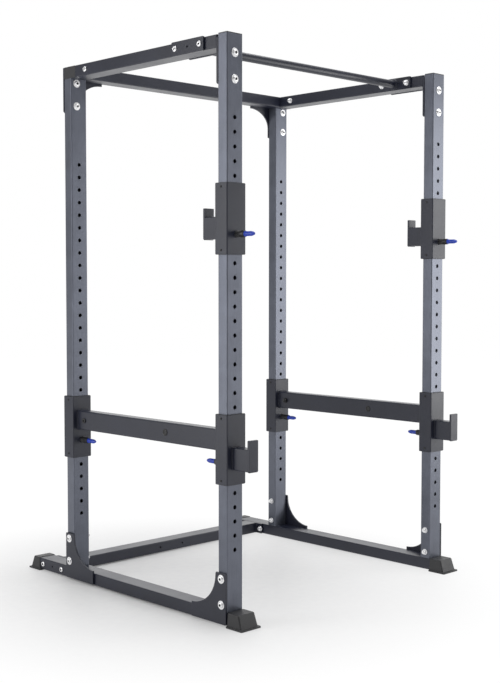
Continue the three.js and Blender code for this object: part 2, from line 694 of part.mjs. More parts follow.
function frame() {
  const group = new THREE.Group();
  for (const side of [LEFT, RIGHT]) {
    const x = (side * SPAN_X) / 2;
    const word = sideName(side);
    for (const end of [FRONT, REAR]) {
      const corner = endName(end) + "_" + word;
      const y = (end * SPAN_Y) / 2;
      const footY = end === FRONT ? -FRONT_FOOT_END : REAR_FOOT_END;
      addMesh(group, corner + "_upright", upright(side, end), uprightGrey, x, y);
      addMesh(group, corner + "_base_gusset", baseGusset(side, end), satinBlack, x, y);
      addMesh(group, corner + "_foot", foot(end), mouldedBlack, x, footY);
    }
    const frontY = -SPAN_Y / 2;
    addMesh(group, "front_" + word + "_upright_cap", uprightCap(), mouldedBlack, x, frontY, FRAME_TOP_Z);
    addMesh(group, word + "_base_rail", baseRail(), satinBlack, x);
    addMesh(group, word + "_top_rail", topRail(), satinBlack, x);
    addMesh(group, word + "_top_gusset", topGusset(side), satinBlack, x, FRAME_FACE_Y);
    const backingFaces = [side * (OUTER_X + GAP), side * (OUTER_X + PLATE)];
    const backing = barPlate(Math.min(...backingFaces), Math.max(...backingFaces), true);
    addMesh(group, word + "_bar_backing_plate", backing, satinBlack, 0, BAR_Y, TOP_TUBE_CENTRE_Z);
    for (const end of [FRONT, REAR]) {
      const y = BAR_Y + end * END_BOLT_OFFSET;
      const name = word + "_bar_bolt_" + endName(end);
      addMesh(group, name, barBolt(side), brightZinc, 0, y, TOP_TUBE_CENTRE_Z);
    }
  }
  addMesh(group, "rear_base_cross_member", baseCrossMember(), satinBlack, 0, BASE_CROSS_Y);
  addMesh(group, "rear_top_cross_member", topCrossMember(), satinBlack);
  addMesh(group, "pull_up_bar", pullUpBar(), satinBlack, 0, BAR_Y, TOP_TUBE_CENTRE_Z);
  return group;
}

function hookCarriage(side) {
  const group = new THREE.Group();
  const prefix = sideName(side) + "_hook";
  addPinnedSleeve(group, prefix, FRONT, 0, 0, 0, 0);
  addMesh(group, prefix + "_bracket", barHook(REAR), satinBlack);
  const pinZ = LOWEST_HOLE_Z + HOOK_PIN_HOLE * HOLE_PITCH;
  group.position.set((side * SPAN_X) / 2, -SPAN_Y / 2, pinZ);
  return group;
}

function spotter(side) {
  const group = new THREE.Group();
  const prefix = sideName(side) + "_spotter";
  addPinnedSleeve(group, prefix + "_front", REAR, REAR, 0, -SPAN_Y / 2, 0);
  addPinnedSleeve(group, prefix + "_rear", FRONT, FRONT, 0, SPAN_Y / 2, 0);
  addMesh(group, prefix + "_hook", barHook(FRONT), satinBlack, 0, -SPAN_Y / 2, 0);
  addMesh(group, prefix + "_arm", spotterArm(), satinBlack);
  const pinZ = LOWEST_HOLE_Z + SPOTTER_PIN_HOLE * HOLE_PITCH;
  group.position.set((side * SPAN_X) / 2, 0, pinZ);
  return group;
}

const powerCage = new THREE.Group();
powerCage.add(frame());
for (const side of [LEFT, RIGHT]) powerCage.add(hookCarriage(side), spotter(side));
powerCage.position.y = (FRONT_REACH - REAR_FOOT_END) / 2;

export default powerCage;
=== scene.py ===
"""Power cage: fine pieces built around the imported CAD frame.

Lengths are millimetres, and metres for the floor, the lights and the camera,
in the frame's own axes: +Z up, the open front towards -Y, left -X.
"""
import math

import bmesh
import bpy
from mathutils import Matrix, Vector
from mathutils.geometry import tessellate_polygon


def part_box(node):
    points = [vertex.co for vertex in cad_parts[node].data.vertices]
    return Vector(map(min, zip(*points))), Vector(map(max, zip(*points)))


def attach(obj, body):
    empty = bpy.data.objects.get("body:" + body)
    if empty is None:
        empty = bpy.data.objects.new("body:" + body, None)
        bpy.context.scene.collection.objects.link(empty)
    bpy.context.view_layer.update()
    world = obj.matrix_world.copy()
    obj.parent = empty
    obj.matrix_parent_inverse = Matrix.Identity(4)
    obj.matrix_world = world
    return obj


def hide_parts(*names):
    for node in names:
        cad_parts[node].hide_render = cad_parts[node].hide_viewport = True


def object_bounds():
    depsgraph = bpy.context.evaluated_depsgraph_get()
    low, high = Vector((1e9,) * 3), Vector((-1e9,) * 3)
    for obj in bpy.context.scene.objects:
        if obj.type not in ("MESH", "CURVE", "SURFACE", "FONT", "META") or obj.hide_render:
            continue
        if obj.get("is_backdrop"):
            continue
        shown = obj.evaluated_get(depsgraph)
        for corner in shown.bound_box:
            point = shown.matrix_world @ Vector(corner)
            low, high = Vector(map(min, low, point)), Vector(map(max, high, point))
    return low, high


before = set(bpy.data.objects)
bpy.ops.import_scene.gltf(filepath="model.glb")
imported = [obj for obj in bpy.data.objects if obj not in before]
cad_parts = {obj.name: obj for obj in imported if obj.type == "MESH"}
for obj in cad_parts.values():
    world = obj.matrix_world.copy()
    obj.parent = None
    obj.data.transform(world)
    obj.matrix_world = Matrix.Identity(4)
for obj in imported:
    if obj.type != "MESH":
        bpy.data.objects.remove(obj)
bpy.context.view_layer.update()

MM = 0.001
SIDES = {"left": -1, "right": 1}
ENDS = {"front": -1, "rear": 1}

# Frame tube.
TUBE_WIDE = 75.0
TUBE_DEEP = 47.0
TUBE_WALL = 3.0
TUBE_RADIUS = 4.0
GAP = 0.3
PLATE = 8.0
STUB_GAP = 1.0
STUB_RADIUS = 3.0
CUTTER_HALF = 50.0

# Adjustment holes.
HOLE_PITCH = 50.8
HOLE_RADIUS = 7.5
HOLE_CHAMFER = 0.7
LOWEST_HOLE_Z = 272.0
HOLES = {"front": 31, "rear": 29}

# Bolts.
BOLT_RADIUS = 6.0
BOLT_HOLE_RADIUS = 6.4
HEAD_RADIUS = 10.4
WASHER_RADIUS = 16.0
WASHER_THICK = 1.6
FAR_WASHER_RADIUS = 12.2
SOCKET_RADIUS = 5.4
NUT_HALF_FLATS = 9.3
SMALL_HOLE_RADIUS = 4.0
END_BOLT_OFFSET = 66.0
END_BOLTS = (-END_BOLT_OFFSET, END_BOLT_OFFSET)
TOP_BOLTS_Z = (1928.0, 2019.0)
REAR_BOLT_OFFSET = 10.0
BASE_BOLTS_Z = (77.0, 170.0)
TOP_STUB_BOLT = 67.0
TOP_STUB_LONG = 110.0

# Feet. The rail's pocket starts FOOT_POCKET from the outer end.
FOOT_LONG = {"front": 84.0, "rear": 82.0}
FOOT_TALL = 53.0
FOOT_FLANGE_WIDE = 98.0
FOOT_LOW_WIDE = 88.0
FOOT_TOP_WIDE = 80.0
FOOT_CORNER = 6.0
FOOT_SETBACK = 8.0
FOOT_SLOPE = 18.0
FOOT_INNER_SLOPE = 6.0
FOOT_POCKET = 28.7

# Gussets, plates and the pull-up bar.
BASE_GUSSET_TOP_Z = 192.0
BASE_GUSSET_NOSE_Z = 62.0
BASE_GUSSET_REACH = 135.0
BASE_GUSSET_SHOULDER = 7.0
BASE_GUSSET_BOTTOM_Z = 7.0
BASE_END_PLATE_LONG = 150.0
BASE_CROSS_HOLE_X = 65.0
TOP_GUSSET_BOTTOM_Z = 1902.0
TOP_GUSSET_ARC_Z = 1945.0
TOP_GUSSET_NOSE_Z = 2030.0
TOP_GUSSET_REACH = 115.0
FLANGE_Z = (1913.0, 2080.0)
PLATE_CORNER = 8.0
BAR_RADIUS = 16.0
BAR_COLLAR_RADIUS = 22.0
BAR_COLLAR_LONG = 9.0
BAR_PLATE_LONG = 172.0
BAR_PLATE_TALL = 51.0

# Sleeves, hooks and arms, with heights from the pin axis.
SLEEVE_WIDE = 91.0
SLEEVE_DEEP = 63.0
SLEEVE_WALL = 4.0
SLEEVE_TOP = 178.0
SLEEVE_BOTTOM = -70.0
SLEEVE_FACE = SLEEVE_DEEP / 2
LINER_OVER = 7.4
LINER_WALL = 2.7
LINER_RADIUS = 5.5
HOUSING_HOLE_RADIUS = 9.3
HOOK_WIDE = 45.0
HOOK_CUP_LONG = 78.0
HOOK_LIP_THICK = 9.0
HOOK_FLOOR_Z = 63.0
HOOK_LIP_Z = (-18.0, 95.0)
HOOK_BODY_BOTTOM_Z = -16.0
ARM_WIDE = 48.0
ARM_TALL = 77.0
ARM_CENTRE_Z = 83.5
ARM_WALL = 4.0
ARM_RADIUS = 6.0
ARM_FLANGE_THICK = 10.0
ARM_FLANGE_PROUD = 1.5
ARM_STUB_LONG = 70.0
ARM_BOLT_FROM_SLEEVE = 47.0
ARM_MIDDLE_HOLE_Y = -128.0

SMOOTH_ANGLE = math.radians(34)


# ---------------------------------------------------------------- outlines
def arc(u, v, radius, start, end, steps, radius_v=None):
    """Points of an arc or a quarter of an ellipse; the angles are degrees."""
    tall = radius if radius_v is None else radius_v
    points = []
    for i in range(steps + 1):
        a = math.radians(start + (end - start) * i / steps)
        points.append((u + radius * math.cos(a), v + tall * math.sin(a)))
    return points


def circle(radius, u=0.0, v=0.0, sides=40):
    return arc(u, v, radius, 0, 360, sides)[:-1]


def rounded(wide, tall, radius, u=0.0, v=0.0, steps=7):
    """An anticlockwise rectangle with rounded corners, centred on (u, v)."""
    right, left = u + wide / 2 - radius, u - wide / 2 + radius
    top, bottom = v + tall / 2 - radius, v - tall / 2 + radius
    return (
        arc(right, bottom, radius, -90, 0, steps)
        + arc(right, top, radius, 0, 90, steps)
        + arc(left, top, radius, 90, 180, steps)
        + arc(left, bottom, radius, 180, 270, steps)
    )


def anticlockwise(points):
    area = 0.0
    for (u0, v0), (u1, v1) in zip(points, points[1:] + points[:1]):
        area += u0 * v1 - u1 * v0
    return points if area > 0 else points[::-1]


def inset(points, distance):
    """Moves each edge of a closed outline to its left by the distance."""
    moved = []
    for i, (u, v) in enumerate(points):
        before, after = points[i - 1], points[(i + 1) % len(points)]
        d0 = Vector((u - before[0], v - before[1])).normalized()
        d1 = Vector((after[0] - u, after[1] - v)).normalized()
        n0, n1 = Vector((-d0.y, d0.x)), Vector((-d1.y, d1.x))
        scale = distance / max(0.25, 1 + n0.dot(n1))
        moved.append((u + (n0.x + n1.x) * scale, v + (n0.y + n1.y) * scale))
    return moved


# ------------------------------------------------------------------ shells
def along(axis, u, v, w):
    """A point at w along the axis. (u, v) is (y, z), (x, z) or (x, y)."""
    return {"x": (w, u, v), "y": (u, w, v), "z": (u, v, w)}[axis]


def skin(rings, closed=False):
    """Joins rings of as many points by quads; returns (points, faces)."""
    count = len(rings[0])
    points = [p for ring in rings for p in ring]
    faces = []
    last = len(rings) if closed else len(rings) - 1
    for r in range(last):
        a, b = r * count, (r + 1) % len(rings) * count
        for i in range(count):
            j = (i + 1) % count
            faces.append((a + i, a + j, b + j, b + i))
    return points, faces


def loft(rings):
    """A closed body through the rings, with a flat cap at each end."""
    points, faces = skin(rings)
    count = len(rings[0])
    faces.append(tuple(range(count)))
    faces.append(tuple(range(len(points) - count, len(points))))
    return points, faces


def extrude(outline, axis, start, end, edge=0.7, holes=(), steps=2):
    """A plate or tube with rounded edges; holes are closed outlines."""
    low, high = min(start, end), max(start, end)
    loops = [anticlockwise(outline)] + [anticlockwise(h)[::-1] for h in holes]
    stations = []
    for k in range(steps + 1):
        a = math.pi / 2 * k / steps
        stations.append((edge * (1 - math.cos(a)), edge * (1 - math.sin(a))))
    levels = [(low + d, i) for d, i in stations]
    levels += [(high - d, i) for d, i in reversed(stations)]
    points, faces, first, last = [], [], [], []
    for loop in loops:
        rings = []
        for w, amount in levels:
            moved = inset(loop, amount) if amount else loop
            rings.append([along(axis, u, v, w) for u, v in moved])
        ring_points, ring_faces = skin(rings)
        base = len(points)
        points += ring_points
        faces += [tuple(base + i for i in f) for f in ring_faces]
        first.append(range(base, base + len(loop)))
        last.append(range(len(points) - len(loop), len(points)))
    for ends in (first, last):
        if len(ends) == 1:
            faces.append(tuple(ends[0]))
            continue
        order = [i for ring in ends for i in ring]
        flat = {"x": (1, 2), "y": (0, 2), "z": (0, 1)}[axis]
        polygons = []
        for ring in ends:
            polygons.append([Vector([points[i][k] for k in flat] + [0.0]) for i in ring])
        faces += [tuple(order[i] for i in t) for t in tessellate_polygon(polygons)]
    return points, faces


def turned(profile, axis, u=0.0, v=0.0, base=0.0, direction=1, sides=40):
    """Turns (radius, distance) points round an axis. A third number makes the
    ring a hexagon with that flat distance, cut to the radius at its corners."""
    rings = []
    for row in profile:
        ring = []
        for i in range(sides):
            a = 2 * math.pi * i / sides
            radius = row[0]
            if len(row) == 3:
                turn = (a + math.pi / 6) % (math.pi / 3) - math.pi / 6
                radius = min(radius, row[2] / math.cos(turn))
            place = (u + radius * math.cos(a), v + radius * math.sin(a))
            ring.append(along(axis, *place, base + direction * row[1]))
        rings.append(ring)
    is_ring = profile[0][0] > 0 and profile[-1][0] > 0
    if is_ring:
        return skin(rings, closed=True)
    body = rings[1:-1]
    points, faces = skin(body)
    for pole, ring_start in ((0, 0), (-1, len(points) - sides)):
        tip = len(points)
        points.append(along(axis, u, v, base + direction * profile[pole][1]))
        for i in range(sides):
            j = (i + 1) % sides
            faces.append((ring_start + i, ring_start + j, tip))
    return points, faces


def weld(path, radius=2.2, ripple=2.6, closed=True):
    """A rippled bead of round section along straight stretches of a path."""
    stops = [Vector(p) for p in path]
    if closed:
        stops.append(stops[0])
    centres, travelled = [], 0.0
    for a, b in zip(stops, stops[1:]):
        long = (b - a).length
        count = max(1, round(long / (ripple / 3)))
        for i in range(count):
            centres.append((a.lerp(b, i / count), travelled + long * i / count))
        travelled += long
    if not closed:
        centres.append((stops[-1], travelled))
    rings = []
    for i, (centre, distance) in enumerate(centres):
        before = centres[i - 1][0] if closed or i else centre
        after_i = (i + 1) % len(centres) if closed else min(i + 1, len(centres) - 1)
        tangent = (centres[after_i][0] - before).normalized()
        side = tangent.orthogonal().normalized()
        if abs(tangent.z) < 0.9:
            side = tangent.cross(Vector((0, 0, 1))).normalized()
        up = tangent.cross(side)
        size = radius * (0.84 + 0.16 * abs(math.sin(math.pi * distance / ripple)))
        ring = []
        for k in range(8):
            a = 2 * math.pi * k / 8
            ring.append(tuple(centre + (side * math.cos(a) + up * math.sin(a)) * size))
        rings.append(ring)
    return skin(rings, closed=True) if closed else loft(rings)


def frame_path(axis, outline, w):
    return [along(axis, u, v, w) for u, v in outline]


# ------------------------------------------------------------------ pieces
def mesh_of(name, *shells):
    """One mesh from closed shells given in millimetres."""
    points, faces = [], []
    for shell_points, shell_faces in shells:
        base = len(points)
        points += [tuple(c * MM for c in p) for p in shell_points]
        faces += [tuple(base + i for i in f) for f in shell_faces]
    mesh = bpy.data.meshes.new(name)
    mesh.from_pydata(points, [], faces)
    tidy = bmesh.new()
    tidy.from_mesh(mesh)
    bmesh.ops.recalc_face_normals(tidy, faces=tidy.faces)
    tidy.to_mesh(mesh)
    tidy.free()
    return mesh


def drill(axis, radius, start, end, u=0.0, v=0.0, chamfers=(False, False)):
    """A round cutter. A chamfered end stands 1 mm clear of the face there."""
    flare = HOLE_CHAMFER + 1.0
    profile = [(0, start)]
    if chamfers[0]:
        profile += [(radius + flare, start), (radius, start + flare)]
    else:
        profile += [(radius, start)]
    if chamfers[1]:
        profile += [(radius, end - flare), (radius + flare, end)]
    else:
        profile += [(radius, end)]
    return turned(profile + [(0, end)], axis, u, v)


def cut(mesh, *cutters):
    """The mesh with closed cutter shells taken away."""
    tool = bpy.data.objects.new("cutter", mesh_of("cutter", *cutters))
    body = bpy.data.objects.new("uncut", mesh)
    for item in (tool, body):
        bpy.context.scene.collection.objects.link(item)
    boolean = body.modifiers.new("cut", "BOOLEAN")
    boolean.operation = "DIFFERENCE"
    boolean.solver = "EXACT"
    boolean.object = tool
    bpy.context.view_layer.update()
    evaluated = body.evaluated_get(bpy.context.evaluated_depsgraph_get())
    result = bpy.data.meshes.new_from_object(evaluated)
    result.name = mesh.name
    for item in (tool, body):
        bpy.data.objects.remove(item)
    return result


def joined(name, *meshes):
    """One mesh holding every shell of the meshes."""
    whole = bmesh.new()
    for mesh in meshes:
        whole.from_mesh(mesh)
    result = bpy.data.meshes.new(name)
    whole.to_mesh(result)
    whole.free()
    return result


def give_finish(mesh, *materials):
    for material in materials:
        mesh.materials.append(material)
    mesh.shade_smooth()
    mesh.set_sharp_from_angle(angle=SMOOTH_ANGLE)


def add_piece(name, mesh, finish, body, node=None, place=(0, 0, 0)):
    """Shows a mesh as one piece that rides on a body; place is in mm."""
    piece = bpy.data.objects.new(name, mesh)
    bpy.context.scene.collection.objects.link(piece)
    piece.location = Vector(place) * MM
    slot, material = finish
    if not mesh.materials:
        give_finish(mesh, material)
    normals = piece.modifiers.new("normals", "WEIGHTED_NORMAL")
    normals.keep_sharp = True
    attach(piece, body)
    if node:
        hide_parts(node)
    return piece


def add_look(node, mesh, finish, body="frame", place=(0, 0, 0)):
    """Adds the piece that shows in place of a CAD node."""
    return add_piece(node + "_look", mesh, finish, body, node, place)


# --------------------------------------------------------------- materials
def new_material(name):
    material = bpy.data.materials.new(name)
    material.use_nodes = True
    tree = material.node_tree
    shader = tree.nodes["Principled BSDF"]
    coordinates = tree.nodes.new("ShaderNodeTexCoord").outputs["Object"]
    return material, tree, shader, coordinates


def noise(tree, coordinates, scale, detail=2.0, roughness=0.5):
    node = tree.nodes.new("ShaderNodeTexNoise")
    node.inputs["Scale"].default_value = scale
    node.inputs["Detail"].default_value = detail
    node.inputs["Roughness"].default_value = roughness
    tree.links.new(coordinates, node.inputs["Vector"])
    return node.outputs["Fac"]


def cells(tree, coordinates, scale, output="Distance"):
    node = tree.nodes.new("ShaderNodeTexVoronoi")
    node.inputs["Scale"].default_value = scale
    tree.links.new(coordinates, node.inputs["Vector"])
    return node.outputs[output]


def spread(tree, value, low, high, from_low=0.3, from_high=0.7, smooth=False):
    node = tree.nodes.new("ShaderNodeMapRange")
    if smooth:
        node.interpolation_type = "SMOOTHSTEP"
    node.inputs["From Min"].default_value = from_low
    node.inputs["From Max"].default_value = from_high
    node.inputs["To Min"].default_value = low
    node.inputs["To Max"].default_value = high
    tree.links.new(value, node.inputs["Value"])
    return node.outputs["Result"]


def ramp(tree, value, low_colour, high_colour, low=0.3, high=0.7):
    node = tree.nodes.new("ShaderNodeValToRGB")
    node.color_ramp.elements[0].position = low
    node.color_ramp.elements[0].color = (*low_colour, 1)
    node.color_ramp.elements[1].position = high
    node.color_ramp.elements[1].color = (*high_colour, 1)
    tree.links.new(value, node.inputs["Fac"])
    return node.outputs["Color"]


def blended(tree, a, b, share=0.5):
    node = tree.nodes.new("ShaderNodeMix")
    node.data_type = "FLOAT"
    node.inputs["Factor"].default_value = share
    tree.links.new(a, node.inputs["A"])
    tree.links.new(b, node.inputs["B"])
    return node.outputs["Result"]


def bumped(tree, shader, height, strength, distance):
    node = tree.nodes.new("ShaderNodeBump")
    node.inputs["Strength"].default_value = strength
    node.inputs["Distance"].default_value = distance
    tree.links.new(height, node.inputs["Height"])
    tree.links.new(node.outputs["Normal"], shader.inputs["Normal"])


def scaled(colour, factor):
    return tuple(c * factor for c in colour)


def varied(tree, shader, tone, colour, shades, roughness, change, stops=(0.3, 0.7)):
    """Base colour and roughness that both follow one tone."""
    colours = ramp(tree, tone, *(scaled(colour, shade) for shade in shades), *stops)
    tree.links.new(colours, shader.inputs["Base Color"])
    rough = spread(tree, tone, roughness + change[0], roughness + change[1])
    tree.links.new(rough, shader.inputs["Roughness"])


def powder_coat(name, colour, roughness, peel=650.0, strength=0.22):
    """Baked powder: orange peel about 1.5 mm across and a fine grain."""
    material, tree, shader, at = new_material(name)
    broad = noise(tree, at, 9.0, 4.0)
    fine = noise(tree, at, 2600.0, 2.0)
    peeled = noise(tree, at, peel, 2.0)
    mixed = blended(tree, broad, fine, 0.45)
    varied(tree, shader, mixed, colour, (0.8, 1.25), roughness, (-0.05, 0.06))
    bumped(tree, shader, blended(tree, peeled, fine, 0.3), strength, 0.00035)
    return material


def metallic_paint(name, colour, roughness, metallic):
    """Paint with flakes well under a millimetre and faint drawn streaks."""
    material, tree, shader, at = new_material(name)
    sparkle = tree.nodes.new("ShaderNodeSeparateColor")
    tree.links.new(cells(tree, at, 1500.0, "Color"), sparkle.inputs["Color"])
    stretch = tree.nodes.new("ShaderNodeMapping")
    stretch.inputs["Scale"].default_value = (1.0, 1.0, 0.03)
    tree.links.new(at, stretch.inputs["Vector"])
    streaks = noise(tree, stretch.outputs["Vector"], 700.0, 3.0)
    clouds = noise(tree, at, 14.0, 4.0)
    tone = blended(tree, blended(tree, streaks, clouds, 0.5), sparkle.outputs["Red"], 0.16)
    varied(tree, shader, tone, colour, (0.78, 1.25), roughness, (-0.06, 0.06))
    shader.inputs["Metallic"].default_value = metallic
    shader.inputs["Coat Weight"].default_value = 0.25
    shader.inputs["Coat Roughness"].default_value = 0.25
    peeled = noise(tree, at, 500.0, 2.0)
    bumped(tree, shader, blended(tree, peeled, streaks, 0.3), 0.16, 0.0003)
    return material


def moulded_plastic(name, colour, roughness, grain=900.0, strength=0.35, depth=0.0):
    """Injection-moulded plastic with a spark-eroded grain."""
    material, tree, shader, at = new_material(name)
    grains = cells(tree, at, grain)
    mixed = blended(tree, noise(tree, at, 25.0, 3.0), grains, 0.35)
    varied(tree, shader, mixed, colour, (0.8, 1.25), roughness, (-0.06, 0.08), (0.2, 0.7))
    bumped(tree, shader, grains, strength, 0.0002)
    shader.inputs["Subsurface Weight"].default_value = depth
    shader.inputs["Subsurface Scale"].default_value = 0.002
    return material


def plated_steel(name, colour, roughness, metallic=1.0):
    """Plated or oxidised: mottling 2 to 3 mm wide and fine scratches."""
    material, tree, shader, at = new_material(name)
    scratches = noise(tree, at, 1900.0, 3.0, 0.7)
    mixed = blended(tree, cells(tree, at, 420.0), scratches)
    varied(tree, shader, mixed, colour, (0.82, 1.05), roughness, (-0.08, 0.1), (0.2, 0.6))
    shader.inputs["Metallic"].default_value = metallic
    bumped(tree, shader, scratches, 0.12, 0.00012)
    return material


# Distances from the floor's middle over which its painted shadow fades to plain white.
PAINTED_SHADOW_FADE = (0.1, 1.5)


def floor_finish():
    """Pale floor with a painted shadow: a grey near its middle, fading to plain white far from the
    object.
    """
    material, tree, shader, at = new_material("pale_floor_painted_shadow")
    output = tree.nodes["Material Output"]
    texture = noise(tree, at, 30.0, 3.0)
    # The grey near the middle is painted shadow under the cage.
    colours = ramp(tree, texture, (0.60, 0.60, 0.605), (0.63, 0.63, 0.63))
    tree.links.new(colours, shader.inputs["Base Color"])
    shader.inputs["Roughness"].default_value = 0.55
    white = tree.nodes.new("ShaderNodeEmission")
    white.inputs["Strength"].default_value = 1.02
    reach = tree.nodes.new("ShaderNodeVectorMath")
    reach.operation = "LENGTH"
    tree.links.new(at, reach.inputs[0])
    fade = spread(tree, reach.outputs["Value"], 0.0, 1.0, *PAINTED_SHADOW_FADE, smooth=True)
    mix = tree.nodes.new("ShaderNodeMixShader")
    tree.links.new(fade, mix.inputs["Fac"])
    tree.links.new(shader.outputs["BSDF"], mix.inputs[1])
    tree.links.new(white.outputs["Emission"], mix.inputs[2])
    tree.links.new(mix.outputs["Shader"], output.inputs["Surface"])
    return material


UPRIGHT = ("upright_grey", metallic_paint("upright_paint", (0.110, 0.119, 0.149), 0.36, 0.72))
BLACK = ("satin_black", powder_coat("satin_black_coat", (0.012, 0.014, 0.026), 0.36))
MOULDED = ("moulded_black", moulded_plastic("moulded_black_plastic", (0.022, 0.022, 0.024), 0.5))
LINER = ("liner_black", moulded_plastic("liner_plastic", (0.010, 0.010, 0.011), 0.42, 500.0, 0.15))
ZINC = ("bright_zinc", plated_steel("zinc_plate", (0.92, 0.92, 0.93), 0.30, 0.9))
HOUSING = ("housing_black", plated_steel("black_oxide", (0.022, 0.022, 0.024), 0.36, 0.25))
GRIP = (
    "grip_blue",
    moulded_plastic("blue_grip_plastic", (0.012, 0.042, 0.37), 0.34, 700.0, 0.1, 0.2),
)
PIN_STEEL = ("bright_zinc", plated_steel("pin_steel", (0.55, 0.55, 0.56), 0.28))
# A near-black steel that paints the shade inside the bolts' sockets.
SOCKET_SHADE = ("housing_black", plated_steel("socket_painted_shade", (0.012, 0.012, 0.014), 0.5, 0.1))


# ------------------------------------------------------------------ places
def middle(node):
    """The middle of a CAD node at rest, in millimetres."""
    low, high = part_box(node)
    return (low + high) / 2 / MM


upright_at = {}
for side in SIDES:
    for end in ENDS:
        at = middle(f"{end}_{side}_upright")
        upright_at[side, end] = Vector((at.x, at.y, 0))
FRAME_TOP_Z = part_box("front_left_upright")[1].z / MM
RAIL_CENTRE_Z = middle("left_base_rail").z
TOP_CENTRE_Z = FRAME_TOP_Z - TUBE_DEEP / 2
RAIL_TOP_Z = RAIL_CENTRE_Z + TUBE_DEEP / 2
SPAN_X = upright_at["right", "front"].x - upright_at["left", "front"].x
OUTER_X = SPAN_X / 2 + TUBE_WIDE / 2
INNER_X = SPAN_X / 2 - TUBE_WIDE / 2
FRONT_Y = upright_at["left", "front"].y
REAR_Y = upright_at["left", "rear"].y
HALF_DEEP = TUBE_DEEP / 2
HALF_WIDE = TUBE_WIDE / 2
CROSS_FRONT_Y = REAR_Y + HALF_DEEP - TUBE_WIDE
CROSS_END_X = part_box("rear_top_cross_member")[1].x / MM
BAR_Y = middle("pull_up_bar").y
BASE_CROSS_Y = middle("rear_base_cross_member").y
ARM_BOLT_Y = (REAR_Y - FRONT_Y) / 2 - SLEEVE_FACE - ARM_BOLT_FROM_SLEEVE


def tube(axis, start, end, u=0.0, v=0.0, size=None, wall=TUBE_WALL, radius=TUBE_RADIUS):
    wide, tall = size or (TUBE_WIDE, TUBE_DEEP)
    hollow = rounded(
        wide - 2 * wall, tall - 2 * wall, max(1.2, radius - wall * 0.6), u, v, 5
    )
    return extrude(rounded(wide, tall, radius, u, v), axis, start, end, 0.4, [hollow])


def stub_size(wide, tall, wall):
    """The outer size of a stub that slides into a tube."""
    less = 2 * (wall + STUB_GAP)
    return wide - less, tall - less


def end_bolt_holes(v=0.0):
    return [circle(BOLT_HOLE_RADIUS, y, v) for y in END_BOLTS]


# ------------------------------------------------------------------- bolts
def bolt_mesh(axis, direction, grip, name, has_washer):
    """A domed socket head on the face at 0, with or without a washer, and
    the washer, nut and threaded end beyond the far face."""
    seat = WASHER_THICK + 0.2 if has_washer else 0.05
    head = [
        (0, seat + 0.4),
        (SOCKET_RADIUS - 0.4, seat + 0.4, 4.3),
        (SOCKET_RADIUS - 0.2, seat + 5.0, 4.4),
        (SOCKET_RADIUS + 0.7, seat + 5.4),
        (7.4, seat + 5.3),
        (9.0, seat + 4.6),
        (HEAD_RADIUS - 0.3, seat + 3.2),
        (HEAD_RADIUS, seat + 2.2),
        (HEAD_RADIUS, seat + 0.5),
        (HEAD_RADIUS - 0.5, seat),
        (BOLT_RADIUS, seat),
        (BOLT_RADIUS, -grip - 9.0),
    ]
    thread = -grip - WASHER_THICK - 9.6
    for i in range(5):
        head += [(BOLT_RADIUS, thread - i), (BOLT_RADIUS - 0.7, thread - i - 0.5)]
    head += [(BOLT_RADIUS - 1.0, thread - 5.0), (0, thread - 5.0)]
    washer = [
        (BOLT_HOLE_RADIUS, 0.05),
        (WASHER_RADIUS - 0.5, 0.05),
        (WASHER_RADIUS, 0.5),
        (WASHER_RADIUS, WASHER_THICK - 0.6),
        (WASHER_RADIUS - 0.6, WASHER_THICK),
        (BOLT_HOLE_RADIUS, WASHER_THICK),
    ]
    far_washer = [(min(r, FAR_WASHER_RADIUS), -grip - d) for r, d in washer]
    base = -grip - WASHER_THICK - 0.05
    flats = NUT_HALF_FLATS
    nut = [
        (BOLT_HOLE_RADIUS - 0.5, base),
        (flats * 1.02, base),
        (flats * 1.16, base - 1.4, flats),
        (flats * 1.16, base - 6.2, flats),
        (flats * 1.0, base - 7.4, flats),
        (flats * 0.86, base - 7.8),
        (flats * 0.84, base - 9.4),
        (flats * 0.76, base - 9.9),
        (BOLT_HOLE_RADIUS - 0.5, base - 9.9),
    ]
    profiles = (head, washer, far_washer, nut) if has_washer else (head, far_washer, nut)
    shells = [turned(rows, axis, direction=direction, sides=36) for rows in profiles]
    return mesh_of(name, *shells)


bolt_meshes = {}


def add_bolt(
    name, axis, direction, grip, place, washer=False, finish=ZINC, body="frame", node=None
):
    """Adds a bolt at its head's face. The faces inside the socket take a near-black material,
    painted shade for the recess.
    """
    key = (axis, direction, grip, washer, finish[1].name)
    if key not in bolt_meshes:
        mesh = bolt_mesh(axis, direction, grip, name, washer)
        give_finish(mesh, finish[1], SOCKET_SHADE[1])
        way = "xyz".index(axis)
        across = [k for k in range(3) if k != way]
        # Faces inside the socket take the second slot, the painted shade.
        for face in mesh.polygons:
            corners = [mesh.vertices[i].co for i in face.vertices]
            rim = max(math.hypot(*(co[k] for k in across)) for co in corners)
            out = direction * face.center[way]
            if out > 0 and rim < (SOCKET_RADIUS + 0.1) * MM:
                face.material_index = 1
        bolt_meshes[key] = mesh
    return add_piece(name, bolt_meshes[key], finish, body, node, place)


# ---------------------------------------------------------------- uprights
def upright_mesh(side, end):
    is_front = end == "front"
    top = FRAME_TOP_Z if is_front else FRAME_TOP_Z - TUBE_DEEP - GAP
    far = HALF_DEEP + 1 if is_front else 0.0
    cutters = []
    for i in range(HOLES[end]):
        z = LOWEST_HOLE_Z + i * HOLE_PITCH
        cutters.append(
            drill("y", HOLE_RADIUS, -HALF_DEEP - 1, far, 0, z, (True, is_front))
        )
    offset = 0.0 if is_front else SIDES[side] * REAR_BOLT_OFFSET
    for z in TOP_BOLTS_Z:
        cutters.append(drill("y", BOLT_HOLE_RADIUS, -CUTTER_HALF, CUTTER_HALF, offset, z))
    for z in BASE_BOLTS_Z:
        cutters.append(drill("x", BOLT_HOLE_RADIUS, -CUTTER_HALF, CUTTER_HALF, 0, z))
    whole = mesh_of(f"{end}_{side}_upright", tube("z", RAIL_TOP_Z + GAP, top))
    return cut(whole, *cutters)


